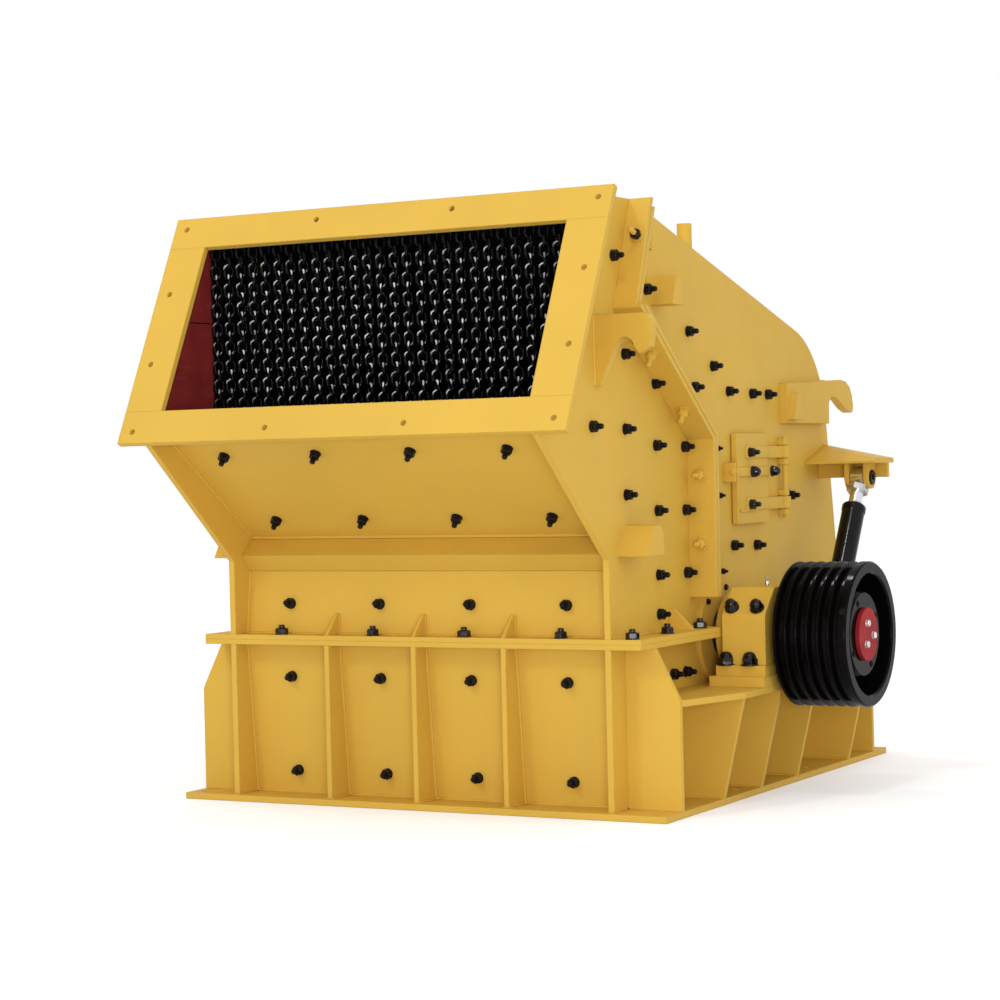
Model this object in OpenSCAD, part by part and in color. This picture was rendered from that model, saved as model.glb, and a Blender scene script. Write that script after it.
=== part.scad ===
// Impact crusher with an opening rear housing, a chain curtain at the feed and a belt-driven rotor.
// Millimetres. X runs along the rotor, Y to the rear, Z up; the origin is the middle of the base's underside.

/* [Base] */
// Width of the base flange along the rotor
base_w = 2600; // [2500:10:2700]
// Depth of the base flange from front to rear
base_d = 2800; // [2700:10:2900]
// Thickness of the base flange
base_t = 30; // [20:1:40]
// Radius of the anchor bolt holes
anchor_r = 21; // [15:1:25]
// Distance of the anchor holes from the flange's edges
anchor_in = 70; // [60:5:90]

/* [Housing] */
// How far the base flange stands out past the side plates
base_out = 270; // [240:5:300]
// Thickness of the housing plates
plate_t = 30; // [24:1:36]
// Height of the plane where the upper housing meets the lower one
joint_z = 784; // [760:2:800]
// Thickness of each joint flange
flange_t = 24; // [18:1:28]
// How far the joint flanges stand out past the side plates
flange_out = 150; // [120:5:170]
// Depth of the front ledge between the joint flange's edge and the front wall's foot
ledge = 100; // [85:5:125]
// How far the front wall's top lies behind its foot
wall_back = 55; // [40:5:70]
// How far the joint flange's front edge sits behind the base's edge
front_in = 30; // [20:5:50]
// How far the joint flange's rear edge reaches past the base's edge
rear_out = 100; // [60:5:120]
// How much farther in the lower walls are at the base than at the joint
wall_lean = 60; // [50:5:90]
// Distance of the outer end ribs from the middle
rib_x = 480; // [440:5:520]
// Thickness of the stiffening ribs
rib_t = 25; // [20:1:30]
// Height of the small gussets on the joint flange
gusset_h = 100; // [80:5:120]
// Running gap round the rear housing when it is closed
split_gap = 5; // [5:0.5:6]
// Hairline between plates that meet on a slope
seat = 0.2; // [0.1:0.05:0.3]

/* [Feed] */
// Height of the concave corner where the front wall meets the feed floor
floor_z = 1280; // [1240:10:1320]
// Height where the side plates' front edge starts to lean forward
knee_z = 1165; // [1120:5:1200]
// Distance of the feed frame's lower edge in front of the base's edge
frame_ahead = 641; // [600:5:680]
// Height of the feed frame's lower front edge
frame_z = 1741; // [1700:5:1780]
// Lean of the feed frame from upright, in degrees
frame_lean = 25.9; // [24:0.1:28]
// Length of the feed frame along its slope
frame_h = 1200; // [1160:5:1240]
// How far the feed frame stands out past the side plates
frame_out = 144; // [130:2:160]
// Thickness of the feed frame's bars
frame_t = 30; // [24:1:36]
// Width of the feed frame's upper and lower bars
frame_bar = 165; // [150:1:180]
// Width of the feed frame's side bars
post_w = 203; // [190:1:215]
// Radius of the feed frame's bolt holes
frame_hole_r = 14; // [10:1:18]
// How far the feed box's roof lies below the feed frame's upper edge
roof_down = 20.5; // [10:0.5:40]
// Leg of the angle bar under the feed floor, measured down the front wall
angle_h = 157; // [140:1:170]
// How far the angle bar's corner stands out from the front wall
angle_out = 92; // [80:1:100]
// Thickness of the angle bar's legs
angle_t = 14; // [10:1:18]
// Thickness of the feed box's side liners
liner_t = 12; // [10:1:16]
// Height of the side liners' seam above the feed frame's lower edge
liner_seam = 565; // [540:5:590]

/* [Split] */
// Distance of the split at the roof behind the joint flange's front edge
split_a_in = 315; // [290:5:340]
// Distance of the split's upper bend behind the joint flange's front edge
split_b_in = 130; // [110:5:150]
// How far the split's upper bend lies below the roof
split_b_down = 500; // [460:5:540]
// Distance of the split's upright run ahead of the rotor axis
split_c_in = 280; // [270:5:300]
// How far the split's lower bend lies below the roof
split_c_down = 1087; // [1060:1:1120]
// How far the split flanges stand out past the side plates
split_out = 140; // [125:5:160]
// How far the split flanges' upper runs stand out past the side plates
split_top_out = 112; // [95:1:118]
// Height of the split flanges' lower ends above the joint flange
split_foot = 142; // [120:2:170]

/* [Rear housing] */
// Fall of the rear roof, in degrees
roof_fall = 15.2; // [14:0.1:16]
// Radius of the rounded shoulder between roof and rear wall
dome_r = 560; // [500:5:620]
// Distance of the rear wall's foot ahead of the joint flange's rear edge
rear_in = 20; // [15:1:30]
// Lean of the rear wall from upright, in degrees
rear_lean = 9.4; // [8.5:0.1:10.5]
// Rearward distance of the housing's hinge axis past the joint flange
hinge_back = 60; // [55:1:70]
// Radius of the housing hinge's pins
hinge_pin_r = 25; // [20:1:28]
// Radius of the housing hinge's knuckles
hinge_knuckle_r = 44; // [40:1:48]
// Distance of the housing hinges from the middle
hinge_x = 800; // [760:5:840]
// Width of the hinges' middle knuckles
hinge_w = 80; // [70:2:90]
// Width of each hinge lug beside a knuckle
hinge_lug_w = 60; // [50:2:70]
// Running clearance of pins, rods and shafts in their bores
fit_gap = 0.3; // [0.2:0.05:0.4]

/* [Rotor] */
// Rearward position of the rotor axis, from the middle
axis_y = -200; // [-215:5:-185]
// How far the rotor axis lies below the joint
axis_down = 24; // [18:1:30]
// Radius of the rotor shaft in its bearings
shaft_r = 100; // [90:1:105]
// Radius of the rotor's discs
disc_r = 500; // [470:5:520]
// Radius at the tips of the blow bars
tip_r = 600; // [570:5:610]
// Thickness of the blow bars
bar_t = 90; // [75:1:100]
// Number of discs along the rotor
disc_n = 6; // [5:1:7]
// Thickness of each rotor disc
disc_t = 70; // [60:2:80]
// Gap between the blow bars' ends and the side plates
bar_gap = 20; // [15:1:40]
// Thickness of the sleeve round the shaft between the discs
sleeve_t = 20; // [15:1:25]

/* [Drive] */
// Radius over the pulley's rims
pulley_r = 345; // [330:1:352]
// Width of the pulley
pulley_w = 366; // [350:2:370]
// Number of belt grooves
groove_n = 6; // [5:1:7]
// Depth of the belt grooves
groove_h = 32; // [24:1:36]
// Thickness of the pulley's rim under its outer radius
pulley_rim = 58; // [52:1:64]
// Radius of the pulley's hub
hub_r = 212; // [195:1:225]
// How far the hub's face lies behind the rim's
hub_in = 34; // [28:1:40]
// Radius of the end cap on the shaft
cap_r = 126; // [115:1:130]
// Thickness of the end cap
cap_t = 20; // [16:1:24]

/* [Bearings] */
// How far the bearing shelf's top lies below the rotor axis
shelf_down = 232; // [226:1:240]
// Thickness of the bearing shelf
shelf_t = 30; // [24:1:36]
// Edge of the bearing shelf past the bearing block
shelf_edge = 10; // [10:1:20]
// Depth of the bearing block from front to rear
block_d = 600; // [560:10:620]
// Width of the bearing block along the shaft
block_w = 220; // [200:5:230]
// Clearance from the joint flanges to the bearing block
block_gap = 10; // [8:1:15]
// Chamfer on the bearing block's shoulders
block_cut = 125; // [110:5:140]
// Height of the bearing block's top above the shaft axis
block_top = 230; // [220:5:240]
// Height of each pedestal step
step_h = 50; // [46:1:52]
// Radius of the seal ring on the side plate
seal_r = 250; // [235:5:255]
// Thickness of the seal ring
seal_t = 25; // [20:1:30]
// Clearance of the seal ring round the shaft
seal_gap = 14; // [10:0.5:16]
// Overlap of the seal ring on the rear plate round its cut-out
seal_lap = 45; // [40:1:60]

/* [Inspection doors] */
// Width of the inspection openings
door_w = 360; // [340:5:380]
// Height of the inspection openings
door_h = 410; // [390:5:430]
// Distance of the inspection openings' middle behind the rotor axis
door_back = 413; // [400:1:425]
// Height of the inspection openings' middle
door_z = 1505; // [1490:5:1520]
// Overlap of the doors on the plate round the opening
door_lap = 20; // [16:1:24]
// Thickness of the doors
door_t = 28; // [22:1:32]
// Distance from the door's edge to its hinge axis
door_arm = 222; // [210:1:235]
// Radius of the door hinges' pins
door_pin_r = 14; // [12:1:16]

/* [Cylinders] */
// Distance from the side plate to the opening cylinders' axes
cyl_off = 267; // [262:1:272]
// Distance of the cylinders' upper pins ahead of the joint flange's rear edge
eye_in = 400; // [390:5:410]
// Height of the cylinders' upper pins
eye_z = 1490; // [1480:5:1500]
// Distance of the cylinders' lower pins ahead of the joint flange's rear edge
foot_in = 900; // [890:5:910]
// Height of the cylinders' lower pins above the bearing shelf
foot_up = 152; // [147:1:160]
// Radius of the cylinders' barrels
barrel_r = 60; // [56:1:66]
// Radius of the cylinders' rods
rod_r = 35; // [30:1:38]
// Radius of the cylinders' pins
pin_r = 30; // [26:1:32]
// Thickness of the cylinders' eyes
eye_t = 70; // [60:1:80]
// Play of the lower eye round its pin, which takes up the opened pivot
foot_play = 18; // [18:0.5:19]

/* [Lifting gear] */
// Reach of the front lifting hooks past the side plates
hook_out = 288; // [270:1:300]
// Thickness of the lifting hooks
hook_t = 45; // [35:1:50]
// Height of the front hooks from top to foot
hook_h = 315; // [295:5:340]
// How far the front hooks sit ahead of the joint flange's front edge
hook_ahead = 100; // [80:5:110]
// Length of the rear hook plates ahead of their notch
rear_hook_l = 640; // [600:5:680]
// Height of the rear hook plates ahead of their notch
rear_hook_h = 205; // [190:5:220]
// Distance of the rear hooks' notch ahead of the joint flange's rear edge
rear_hook_in = 200; // [185:5:215]
// Height of the rear hooks' notch above the cylinders' upper pins
rear_hook_up = 380; // [370:5:400]
// Radius of the notch in the hooks
notch_r = 50; // [44:1:56]
// Length of the box lugs along the side plates
lug_l = 180; // [160:5:200]
// Height of the box lugs
lug_h = 137; // [120:1:150]
// Reach of the box lugs past the side plates
lug_out = 150; // [130:5:160]
// Outer radius of the vent stub on the rear roof
vent_r = 36; // [32:1:42]
// Distance of the vent stub from the side plate's inner face
vent_in = 60; // [55:5:100]
// Distance of the vent stub ahead of the rotor axis
vent_ahead = 80; // [40:5:120]
// Height of the vent stub above the roof
vent_h = 160; // [140:5:180]

/* [Chain curtain] */
// Distance between chain strands
strand_pitch = 71; // [66:1:76]
// Diameter of the chains' wire
wire_d = 16; // [14:1:18]
// Radius of the bar that the chains hang from
rail_r = 14; // [12:1:18]

/* [Hidden] */
$fn = 64;
housing_w = base_w - 2 * base_out;
side_x = housing_w / 2;
in_x = side_x - plate_t;
flange_x = side_x + flange_out;
front_y = -base_d / 2 + front_in;
back_y = base_d / 2 + rear_out;
wall_foot = front_y + ledge;
wall_y = wall_foot + wall_back;
low_back_y = base_d / 2 - 75;
low_z = joint_z - flange_t;
up_z = joint_z + flange_t;
rear_z = joint_z + split_gap;
rear_up_z = rear_z + flange_t;
gate = seal_r + 10;
axis_z = joint_z - axis_down;
split_end = up_z + split_foot;
rear_y = back_y - rear_in;
hinge_y = back_y + hinge_back;
hinge_z = joint_z;
block_x = flange_x + block_gap;
shelf_x = block_x + block_w + shelf_edge;
shelf_z = axis_z - shelf_down;
wing_in = 140;
wing_y = front_y + wing_in;
shelf_slant = 430;
shelf_rear_slant = 240;
block_neck = 75;
upper_lug_in = 180;
hook_down = 45;
// Height of the chains' ends above the feed floor
chain_foot = 21.4635;
lug_rim = 40;
pin_end = 12;
rib_ys = [-771, -327, 124, 828];
rear_rib_y = base_d / 2 - 205;
gusset_ahead = 548;
gusset_t = 16;
gusset_y = axis_y - gusset_ahead;
frame_y = -base_d / 2 - frame_ahead;
frame_w = housing_w + 2 * frame_out;
feed_w = frame_w - 2 * post_w;
frame_top = [frame_y + frame_h * sin(frame_lean), frame_z + frame_h * cos(frame_lean)];
frame_back = [cos(frame_lean), -sin(frame_lean)] * (frame_t + seat);
feed_toe = [frame_y, frame_z] + frame_back + [sin(frame_lean), cos(frame_lean)] * (frame_bar - plate_t) * 0.8;
roof_z = frame_top[1] - roof_down;
opening_h = frame_h - 2 * frame_bar;
hole_x = frame_w / 2 - 69;
hole_mid_x = 365;
hole_in = 60;
hole_side = 187;
liner_x = in_x - liner_t;
liner_gap = 6;
rail_off = frame_t + rail_r + wire_d + 4;
rail_up = frame_h - frame_bar + 40;
rail_y = frame_y + rail_up * sin(frame_lean) + rail_off * cos(frame_lean);
rail_z = frame_z + rail_up * cos(frame_lean) - rail_off * sin(frame_lean);
pulley_x = shelf_x + 40;
pulley_end = pulley_x + pulley_w;
bar_l = 2 * (in_x - bar_gap);
cyl_x = side_x + cyl_off;
eye_y = back_y - eye_in;
foot_y = back_y - foot_in;
foot_z = shelf_z + foot_up;
cyl_dy = eye_y - foot_y;
cyl_dz = eye_z - foot_z;
cyl_l = norm([cyl_dy, cyl_dz]);
cyl_tilt = atan2(cyl_dy, cyl_dz);
barrel_top = cyl_l - 178;
rod_in = 560;
eye_r = pin_r + lug_rim;
foot_eye_r = pin_r + foot_play + 32;
lug_t = 25;
neck_l = pin_r + 72;
neck_w = 90;
door_y = axis_y + door_back;
door_x = side_x + split_gap;
door_edge = door_y + door_w / 2 + door_lap;
door_hinge_y = door_edge + door_arm;
door_knuckle_r = door_pin_r + 14;
door_hinge_x = door_x + door_knuckle_r;
split_a_y = front_y + split_a_in;
split_b_y = front_y + split_b_in;
split_b_z = roof_z - split_b_down;
split_c_y = axis_y - split_c_in;
split_c_z = roof_z - split_c_down;
hook_y = front_y - hook_ahead;
rear_hook_y = back_y - rear_hook_in;
rear_hook_z = eye_z + rear_hook_up;
vent_x = in_x - vent_in;
vent_y = axis_y - vent_ahead;
cheek_r = pin_r + 30;
arm_h = 105;
arm_z = pin_r + 45;
arm_ahead = 115;
arm_back = 175;
arm_x = cyl_x + eye_t / 2 + split_gap + lug_t + cheek_r;
web_y = eye_y + eye_r + 2 * split_gap;
strap_z = 130;
strap_w = 60;
post_h = 30;
post_z = strap_z + strap_w / 2 + post_h / 2 + split_gap;
liner_y = split_b_y - 15;
split = [[split_a_y, roof_z], [split_b_y, split_b_z], [split_c_y, split_c_z], [split_c_y, joint_z]];

// Unit vector along a line, the normal on its rear side, and the crossing of two lines
function along(a, b) = (b - a) / norm(b - a);
function rearward(a, b) = [-along(a, b)[1], along(a, b)[0]];
function cross_at(p, u, q, v) = p + u * ((q - p)[0] * v[1] - (q - p)[1] * v[0]) / (u[0] * v[1] - u[1] * v[0]);
// Corner k of the split line moved rearward by d, mitred where two runs meet
function shifted(k, d) = cross_at(
    split[k - 1] + rearward(split[k - 1], split[k]) * d, along(split[k - 1], split[k]),
    split[k] + rearward(split[k], split[k + 1]) * d, along(split[k], split[k + 1]));
function level(k, d, z) = cross_at(
    split[k] + rearward(split[k], split[k + 1]) * d, along(split[k], split[k + 1]), [0, z], [1, 0]);
// The split line from roof to joint, moved rearward by d and ended at the given heights
function split_line(d, top, bottom) = [level(0, d, top), shifted(1, d), shifted(2, d), level(2, d, bottom)];
// A place on the front wall's outer face, a hairline off it
function front_at(z) = [wall_y - wall_back * (floor_z - z) / (floor_z - up_z) - seat, z];
function back_line(d, top, bottom) = [for (k = [3 : -1 : 0]) split_line(d, top, bottom)[k]];

// Rear housing outline: roof and wall lines, the shoulder's centre and its touching points
roof_u = [cos(roof_fall), -sin(roof_fall)];
wall_u = [sin(rear_lean), -cos(rear_lean)];
roof_p = level(0, split_gap, roof_z);
wall_p = [rear_y, joint_z];
function inward_roof(d) = roof_p + [-sin(roof_fall), -cos(roof_fall)] * d;
function inward_wall(d) = wall_p + [-cos(rear_lean), -sin(rear_lean)] * d;
dome_c = cross_at(inward_roof(dome_r), roof_u, inward_wall(dome_r), wall_u);
dome_a = dome_c + [sin(roof_fall), cos(roof_fall)] * dome_r;
dome_b = dome_c + [cos(rear_lean), sin(rear_lean)] * dome_r;
function rear_at(z, d) = cross_at(inward_wall(d), wall_u, [0, z], [1, 0]);

// A profile in Y and Z drawn out along X
module yz(x0, x1) {
    translate([x0, 0, 0]) rotate([90, 0, 90]) linear_extrude(x1 - x0) children();
}

// The same piece on the right and on the left
module pair() {
    children();
    mirror([1, 0, 0]) children();
}

module paint() {
    color([0.85, 0.63, 0.22]) children();
}

module box(x0, x1, y0, y1, z0, z1) {
    translate([x0, y0, z0]) cube([x1 - x0, y1 - y0, z1 - z0]);
}

// A round bar along X
module bar_x(x0, x1, y, z, r) {
    translate([x0, y, z]) rotate([0, 90, 0]) cylinder(h = x1 - x0, r = r);
}

// Into the feed frame's own axes: X along the frame, Y through it to the rear, Z up its slope
module on_frame() {
    translate([0, frame_y, frame_z]) rotate([-frame_lean, 0, 0]) children();
}

module base_flange() {
    paint() difference() {
        box(-base_w / 2, base_w / 2, -base_d / 2, base_d / 2, 0, base_t);
        box(-in_x, in_x, wall_foot + wall_lean + plate_t, low_back_y - wall_lean - plate_t, -1, base_t + 1);
        for (x = [-1, 1], y = [-1, -0.34, 0.34, 1])
            translate([x * (base_w / 2 - anchor_in), y * (base_d / 2 - anchor_in), -1])
                cylinder(h = base_t + 2, r = anchor_r);
    }
}

module lower_end_walls() {
    paint() {
        yz(-in_x, in_x) polygon([[wall_foot, low_z], [wall_foot + wall_lean, base_t],
            [wall_foot + wall_lean + plate_t, base_t], [wall_foot + plate_t, low_z]]);
        yz(-in_x, in_x) polygon([[low_back_y, low_z], [low_back_y - wall_lean, base_t],
            [low_back_y - wall_lean - plate_t, base_t], [low_back_y - plate_t, low_z]]);
    }
}

module lower_side_walls() {
    paint() pair() yz(in_x, side_x) difference() {
        polygon([[front_y, base_t], [base_d / 2 - 10, base_t], [back_y - 10, low_z], [axis_y + gate, low_z],
            [axis_y + gate, joint_z], [axis_y - gate, joint_z], [axis_y - gate, low_z], [front_y, low_z]]);
        translate([axis_y, axis_z]) circle(r = shaft_r + 30);
    }
}

// Upright ribs before and behind the lower housing, with small gussets on the front ledge
module end_ribs() {
    paint() for (x = [-rib_x, 0, rib_x]) {
        yz(x - rib_t / 2, x + rib_t / 2) polygon([[front_y, base_t], [wall_foot + wall_lean, base_t],
            [wall_foot, low_z], [front_y, low_z]]);
        yz(x - gusset_t / 2, x + gusset_t / 2) polygon([[front_y + seat, up_z], front_at(up_z),
            front_at(up_z + gusset_h), front_at(up_z + gusset_h) - [gusset_t, 0]]);
        yz(x - rib_t / 2, x + rib_t / 2) polygon([[base_d / 2 - 10, base_t], [low_back_y - wall_lean, base_t],
            [low_back_y, low_z], [back_y - 10, low_z]]);
    }
}

// Front wing, gussets under the shelf and on the joint flange, and the rear plate, each square to the side wall
module side_ribs() {
    paint() pair() {
        translate([0, wing_y, 0]) rotate([90, 0, 0]) translate([0, 0, -rib_t]) linear_extrude(rib_t)
            polygon([[side_x, base_t], [base_w / 2, base_t], [base_w / 2, shelf_z], [flange_x, low_z],
                [side_x, low_z]]);
        for (y = rib_ys)
            translate([0, y, 0]) rotate([90, 0, 0]) translate([0, 0, -rib_t]) linear_extrude(rib_t)
                polygon([[side_x, base_t], [base_w / 2, base_t], [shelf_x - 10, shelf_z - shelf_t],
                    [side_x, shelf_z - shelf_t]]);
        translate([0, rear_rib_y, 0]) rotate([90, 0, 0]) translate([0, 0, -rib_t]) linear_extrude(rib_t)
            polygon([[side_x, base_t], [base_w / 2, base_t], [base_w / 2, shelf_z], [flange_x, low_z],
                [side_x, low_z]]);
        translate([0, gusset_y, 0]) rotate([90, 0, 0]) translate([0, 0, -rib_t]) linear_extrude(rib_t)
            polygon([[side_x, up_z], [flange_x - rib_t, up_z], [side_x + rib_t, up_z + gusset_h],
                [side_x, up_z + gusset_h]]);
    }
}

module bearing_shelves() {
    paint() pair() translate([0, 0, shelf_z - shelf_t]) linear_extrude(shelf_t)
        polygon([[side_x, wing_y + rib_t], [base_w / 2, wing_y + rib_t], [shelf_x, wing_y + rib_t + shelf_slant],
            [shelf_x, rear_rib_y - shelf_rear_slant], [base_w / 2, rear_rib_y], [side_x, rear_rib_y]]);
}

module lower_joint_flange() {
    paint() translate([0, 0, low_z]) linear_extrude(flange_t) {
        difference() {
            translate([-flange_x, front_y]) square([2 * flange_x, axis_y - gate - front_y]);
            translate([-in_x, wall_foot + plate_t]) square([2 * in_x, base_d]);
        }
        difference() {
            translate([-flange_x, axis_y + gate]) square([2 * flange_x, back_y - axis_y - gate]);
            translate([-in_x, -base_d]) square([2 * in_x, base_d + low_back_y - plate_t]);
        }
    }
}

module front_joint_flange() {
    paint() translate([0, 0, joint_z]) linear_extrude(flange_t) difference() {
        translate([-flange_x, front_y]) square([2 * flange_x, split_c_y - front_y]);
        translate([-in_x, wall_foot + plate_t]) square([2 * in_x, base_d]);
    }
}

module front_side_plates() {
    foot = [frame_y, frame_z] + frame_back;
    head = frame_top + frame_back;
    paint() pair() yz(in_x, side_x)
        polygon(concat([[front_y, up_z], [front_y, knee_z], foot, cross_at(foot, along(foot, head), [0, roof_z], [1, 0])],
            split_line(0, roof_z, up_z)));
}

module front_wall() {
    paint() yz(-in_x, in_x) polygon([[wall_foot, up_z], [wall_foot + plate_t, up_z],
        [wall_y + plate_t, floor_z], [wall_y, floor_z]]);
}

// Slanting floor between the front wall and the feed frame, with the angle bar at its foot
module feed_floor() {
    heel = [wall_y, floor_z];
    toe = feed_toe;
    up = along(toe, heel);
    n = [-up[1], up[0]];
    slope = [sin(frame_lean), cos(frame_lean)];
    wall = front_at(floor_z - angle_t);
    low = front_at(floor_z - angle_t - angle_h);
    inner = angle_t * 1.4;
    paint() yz(-in_x, in_x) polygon([wall, wall - [angle_out, angle_h / 2], low, low + along(low, wall) * inner,
        wall - [angle_out - inner, angle_h / 2], wall - along(low, wall) * inner]);
    paint() yz(-in_x, in_x) polygon([heel, toe, cross_at(toe + n * plate_t, up, toe, slope),
        cross_at(heel + n * plate_t, up, heel + [plate_t, 0], [0, 1]), heel + [plate_t, 0]]);
}

module feed_roof() {
    head = frame_top + frame_back;
    slope = [sin(frame_lean), cos(frame_lean)];
    paint() yz(-in_x, in_x) polygon([cross_at(head, slope, [0, roof_z], [1, 0]),
        cross_at(head, slope, [0, roof_z - plate_t], [1, 0]), level(0, 0, roof_z - plate_t), level(0, 0, roof_z)]);
}

module frame_hole(x, z) {
    translate([x, -1, z]) rotate([-90, 0, 0]) cylinder(h = frame_t + 2, r = frame_hole_r);
}

module feed_frame_bars() {
    paint() on_frame() difference() {
        union() {
            box(-frame_w / 2, frame_w / 2, 0, frame_t, 0, frame_bar);
            box(-frame_w / 2, frame_w / 2, 0, frame_t, frame_h - frame_bar, frame_h);
        }
        for (x = [-hole_x, -hole_mid_x, hole_mid_x, hole_x], z = [hole_in, frame_h - hole_in]) frame_hole(x, z);
    }
}

module feed_frame_posts() {
    paint() on_frame() difference() {
        pair() box(feed_w / 2, frame_w / 2, 0, frame_t, frame_bar, frame_h - frame_bar);
        for (x = [-hole_x, hole_x], z = [-hole_side, hole_side]) frame_hole(x, frame_h / 2 + z);
    }
}

// Two rows of wear liners on each inner wall of the feed box, with a level seam
module feed_liners() {
    slope = [sin(frame_lean), cos(frame_lean)];
    face = [frame_y, frame_z] + [cos(frame_lean), -sin(frame_lean)] * (frame_t + liner_gap);
    floor_u = along(feed_toe, [wall_y, floor_z]);
    bed = feed_toe + [-floor_u[1], floor_u[0]] * (plate_t + liner_gap);
    seam = frame_z + liner_seam;
    top = roof_z - plate_t - liner_gap;
    color([0.30, 0.09, 0.08]) pair() yz(liner_x, in_x - seat) {
        polygon([cross_at(face, slope, bed, floor_u), cross_at(bed, floor_u, [liner_y, 0], [0, 1]), [liner_y, seam],
            cross_at(face, slope, [0, seam], [1, 0])]);
        polygon([cross_at(face, slope, [0, seam + liner_gap], [1, 0]), [liner_y, seam + liner_gap], [liner_y, top],
            cross_at(face, slope, [0, top], [1, 0])]);
    }
}

module chain_rail() {
    color([0.12, 0.12, 0.13]) bar_x(seat - liner_x, liner_x - seat, rail_y, rail_z, rail_r);
}

module chain_curtain() {
    n = floor((liner_x - 1.4 * wire_d) / strand_pitch + 0.5);
    fall = along(feed_toe, [wall_y, floor_z]);
    bed = cross_at(feed_toe + [-fall[1], fall[0]] * plate_t, fall, [rail_y - wire_d / 2, 0], [0, 1]);
    color([0.10, 0.10, 0.11]) for (k = [-n : n - 1]) translate([(k + 0.5) * strand_pitch, 0, 0])
        box(-wire_d / 2, wire_d / 2, rail_y - wire_d / 2, rail_y + wire_d / 2, bed[1] + chain_foot, rail_z - rail_r);
}

// What is cut off the split flanges above the front hooks
module split_step() {
    box(side_x + split_top_out, base_w, -base_d, base_d, split_b_z + split_gap, 2 * roof_z);
}

module front_split_flanges() {
    paint() pair() difference() {
        yz(side_x, side_x + split_out)
            polygon(concat(split_line(-rib_t, roof_z, split_end), back_line(0, roof_z, split_end)));
        split_step();
    }
}

// Outline of a box lug from its lower front corner: the front leans back and the upper rear corner is cut
module box_lug(y, z, l) {
    cut = l / 7;
    translate([y, z]) polygon([[0, 0], [l, 0], [l, lug_h - cut], [l - 1.2 * cut, lug_h], [0.48 * l, lug_h]]);
}

// Hook plates square to the side plates, open downwards, and the box lugs below them
module front_lifting_lugs() {
    top = split_b_z - hook_down;
    lip = 3 * notch_r;
    paint() pair() {
        translate([side_x, hook_y, top]) rotate([90, 0, 0]) translate([0, 0, -hook_t])
            linear_extrude(hook_t) difference() {
                polygon([[0, 0], [hook_out - 1.1 * notch_r, 0], [hook_out - 0.5 * notch_r, -0.15 * notch_r],
                    [hook_out - 0.12 * notch_r, -0.5 * notch_r], [hook_out, -1.1 * notch_r],
                    [hook_out - 0.2 * notch_r, -lip], [hook_out - 1.3 * notch_r, -1.2 * lip],
                    [hook_out - 1.8 * notch_r, -lip], [hook_out - 3.7 * notch_r, -lip],
                    [rib_t, -hook_h], [0, -hook_h]]);
                translate([hook_out - 2.75 * notch_r, -lip]) circle(r = 0.92 * notch_r);
            }
        yz(side_x, side_x + lug_out) box_lug(front_y + gusset_h - 10, knee_z + 10, lug_l);
    }
}

module seal_ring() {
    yz(side_x, side_x + seal_t) translate([axis_y, axis_z]) difference() {
        circle(r = seal_r);
        circle(r = shaft_r + seal_gap);
    }
}

module lower_seals() {
    paint() pair() intersection() {
        seal_ring();
        box(0, base_w, -base_d, base_d, shelf_z, joint_z);
    }
}

module upper_seals() {
    paint() pair() intersection() {
        seal_ring();
        box(0, base_w, -base_d, base_d, rear_z, 2 * joint_z);
    }
}

module bearing_pedestals() {
    paint() pair() {
        box(block_x - step_h, shelf_x, axis_y - block_d / 2 - step_h, axis_y + block_d / 2 + step_h,
            shelf_z, shelf_z + step_h);
        box(block_x - step_h / 2, shelf_x - shelf_edge / 2, axis_y - (block_d + step_h) / 2,
            axis_y + (block_d + step_h) / 2, shelf_z + step_h, shelf_z + 2 * step_h);
    }
}

// Bearing block with chamfered shoulders and a round neck towards the side plate
module bearing_blocks() {
    foot = shelf_z + 2 * step_h;
    top = axis_z + block_top;
    half = block_d / 2;
    cut = block_cut;
    paint() pair() difference() {
        union() {
            yz(block_x, block_x + block_w) polygon([[axis_y - half, foot], [axis_y - half, top - cut],
                [axis_y - half + cut, top], [axis_y + half - cut, top], [axis_y + half, top - cut],
                [axis_y + half, foot]]);
            intersection() {
                bar_x(block_x - block_neck, block_x + 1, axis_y, axis_z, block_top - rib_t);
                box(block_x - block_neck - 1, block_x + 2, axis_y - half, axis_y + half, foot, top);
            }
        }
        bar_x(block_x - block_neck - 1, block_x + block_w + 1, axis_y, axis_z, shaft_r + fit_gap);
    }
}

// Lugs on the shelf with the lower pin through them
module cylinder_feet() {
    gap = eye_t / 2 + split_gap;
    paint() pair() {
        for (x = [cyl_x - gap - lug_t, cyl_x + gap]) {
            bar_x(x, x + lug_t, foot_y, foot_z, pin_r + lug_rim);
            box(x, x + lug_t, foot_y - pin_r - lug_rim, foot_y + pin_r + lug_rim, shelf_z, foot_z);
        }
        bar_x(cyl_x - gap - lug_t - pin_end, cyl_x + gap + lug_t + pin_end, foot_y, foot_z, pin_r);
    }
}

// Hinge lugs under the rear edge of the lower housing, with their pins
module hinge_lugs() {
    reach = hinge_w / 2 + split_gap + hinge_lug_w;
    paint() for (x = [-hinge_x, hinge_x]) {
        for (s = [-reach, reach - hinge_lug_w]) yz(x + s, x + s + hinge_lug_w) difference() {
            union() {
                translate([hinge_y, hinge_z]) circle(r = hinge_knuckle_r);
                polygon([[back_y, joint_z - flange_t], [hinge_y - 10, hinge_z - hinge_knuckle_r + 2],
                    [hinge_y, hinge_z], [back_y, joint_z]]);
            }
            translate([back_y - 2 * hinge_back, hinge_z - 2 * hinge_back])
                square([2 * hinge_back, 4 * hinge_back]);
        }
        bar_x(x - reach - rib_t / 2, x + reach + rib_t / 2, hinge_y, hinge_z, hinge_pin_r);
    }
}

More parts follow.
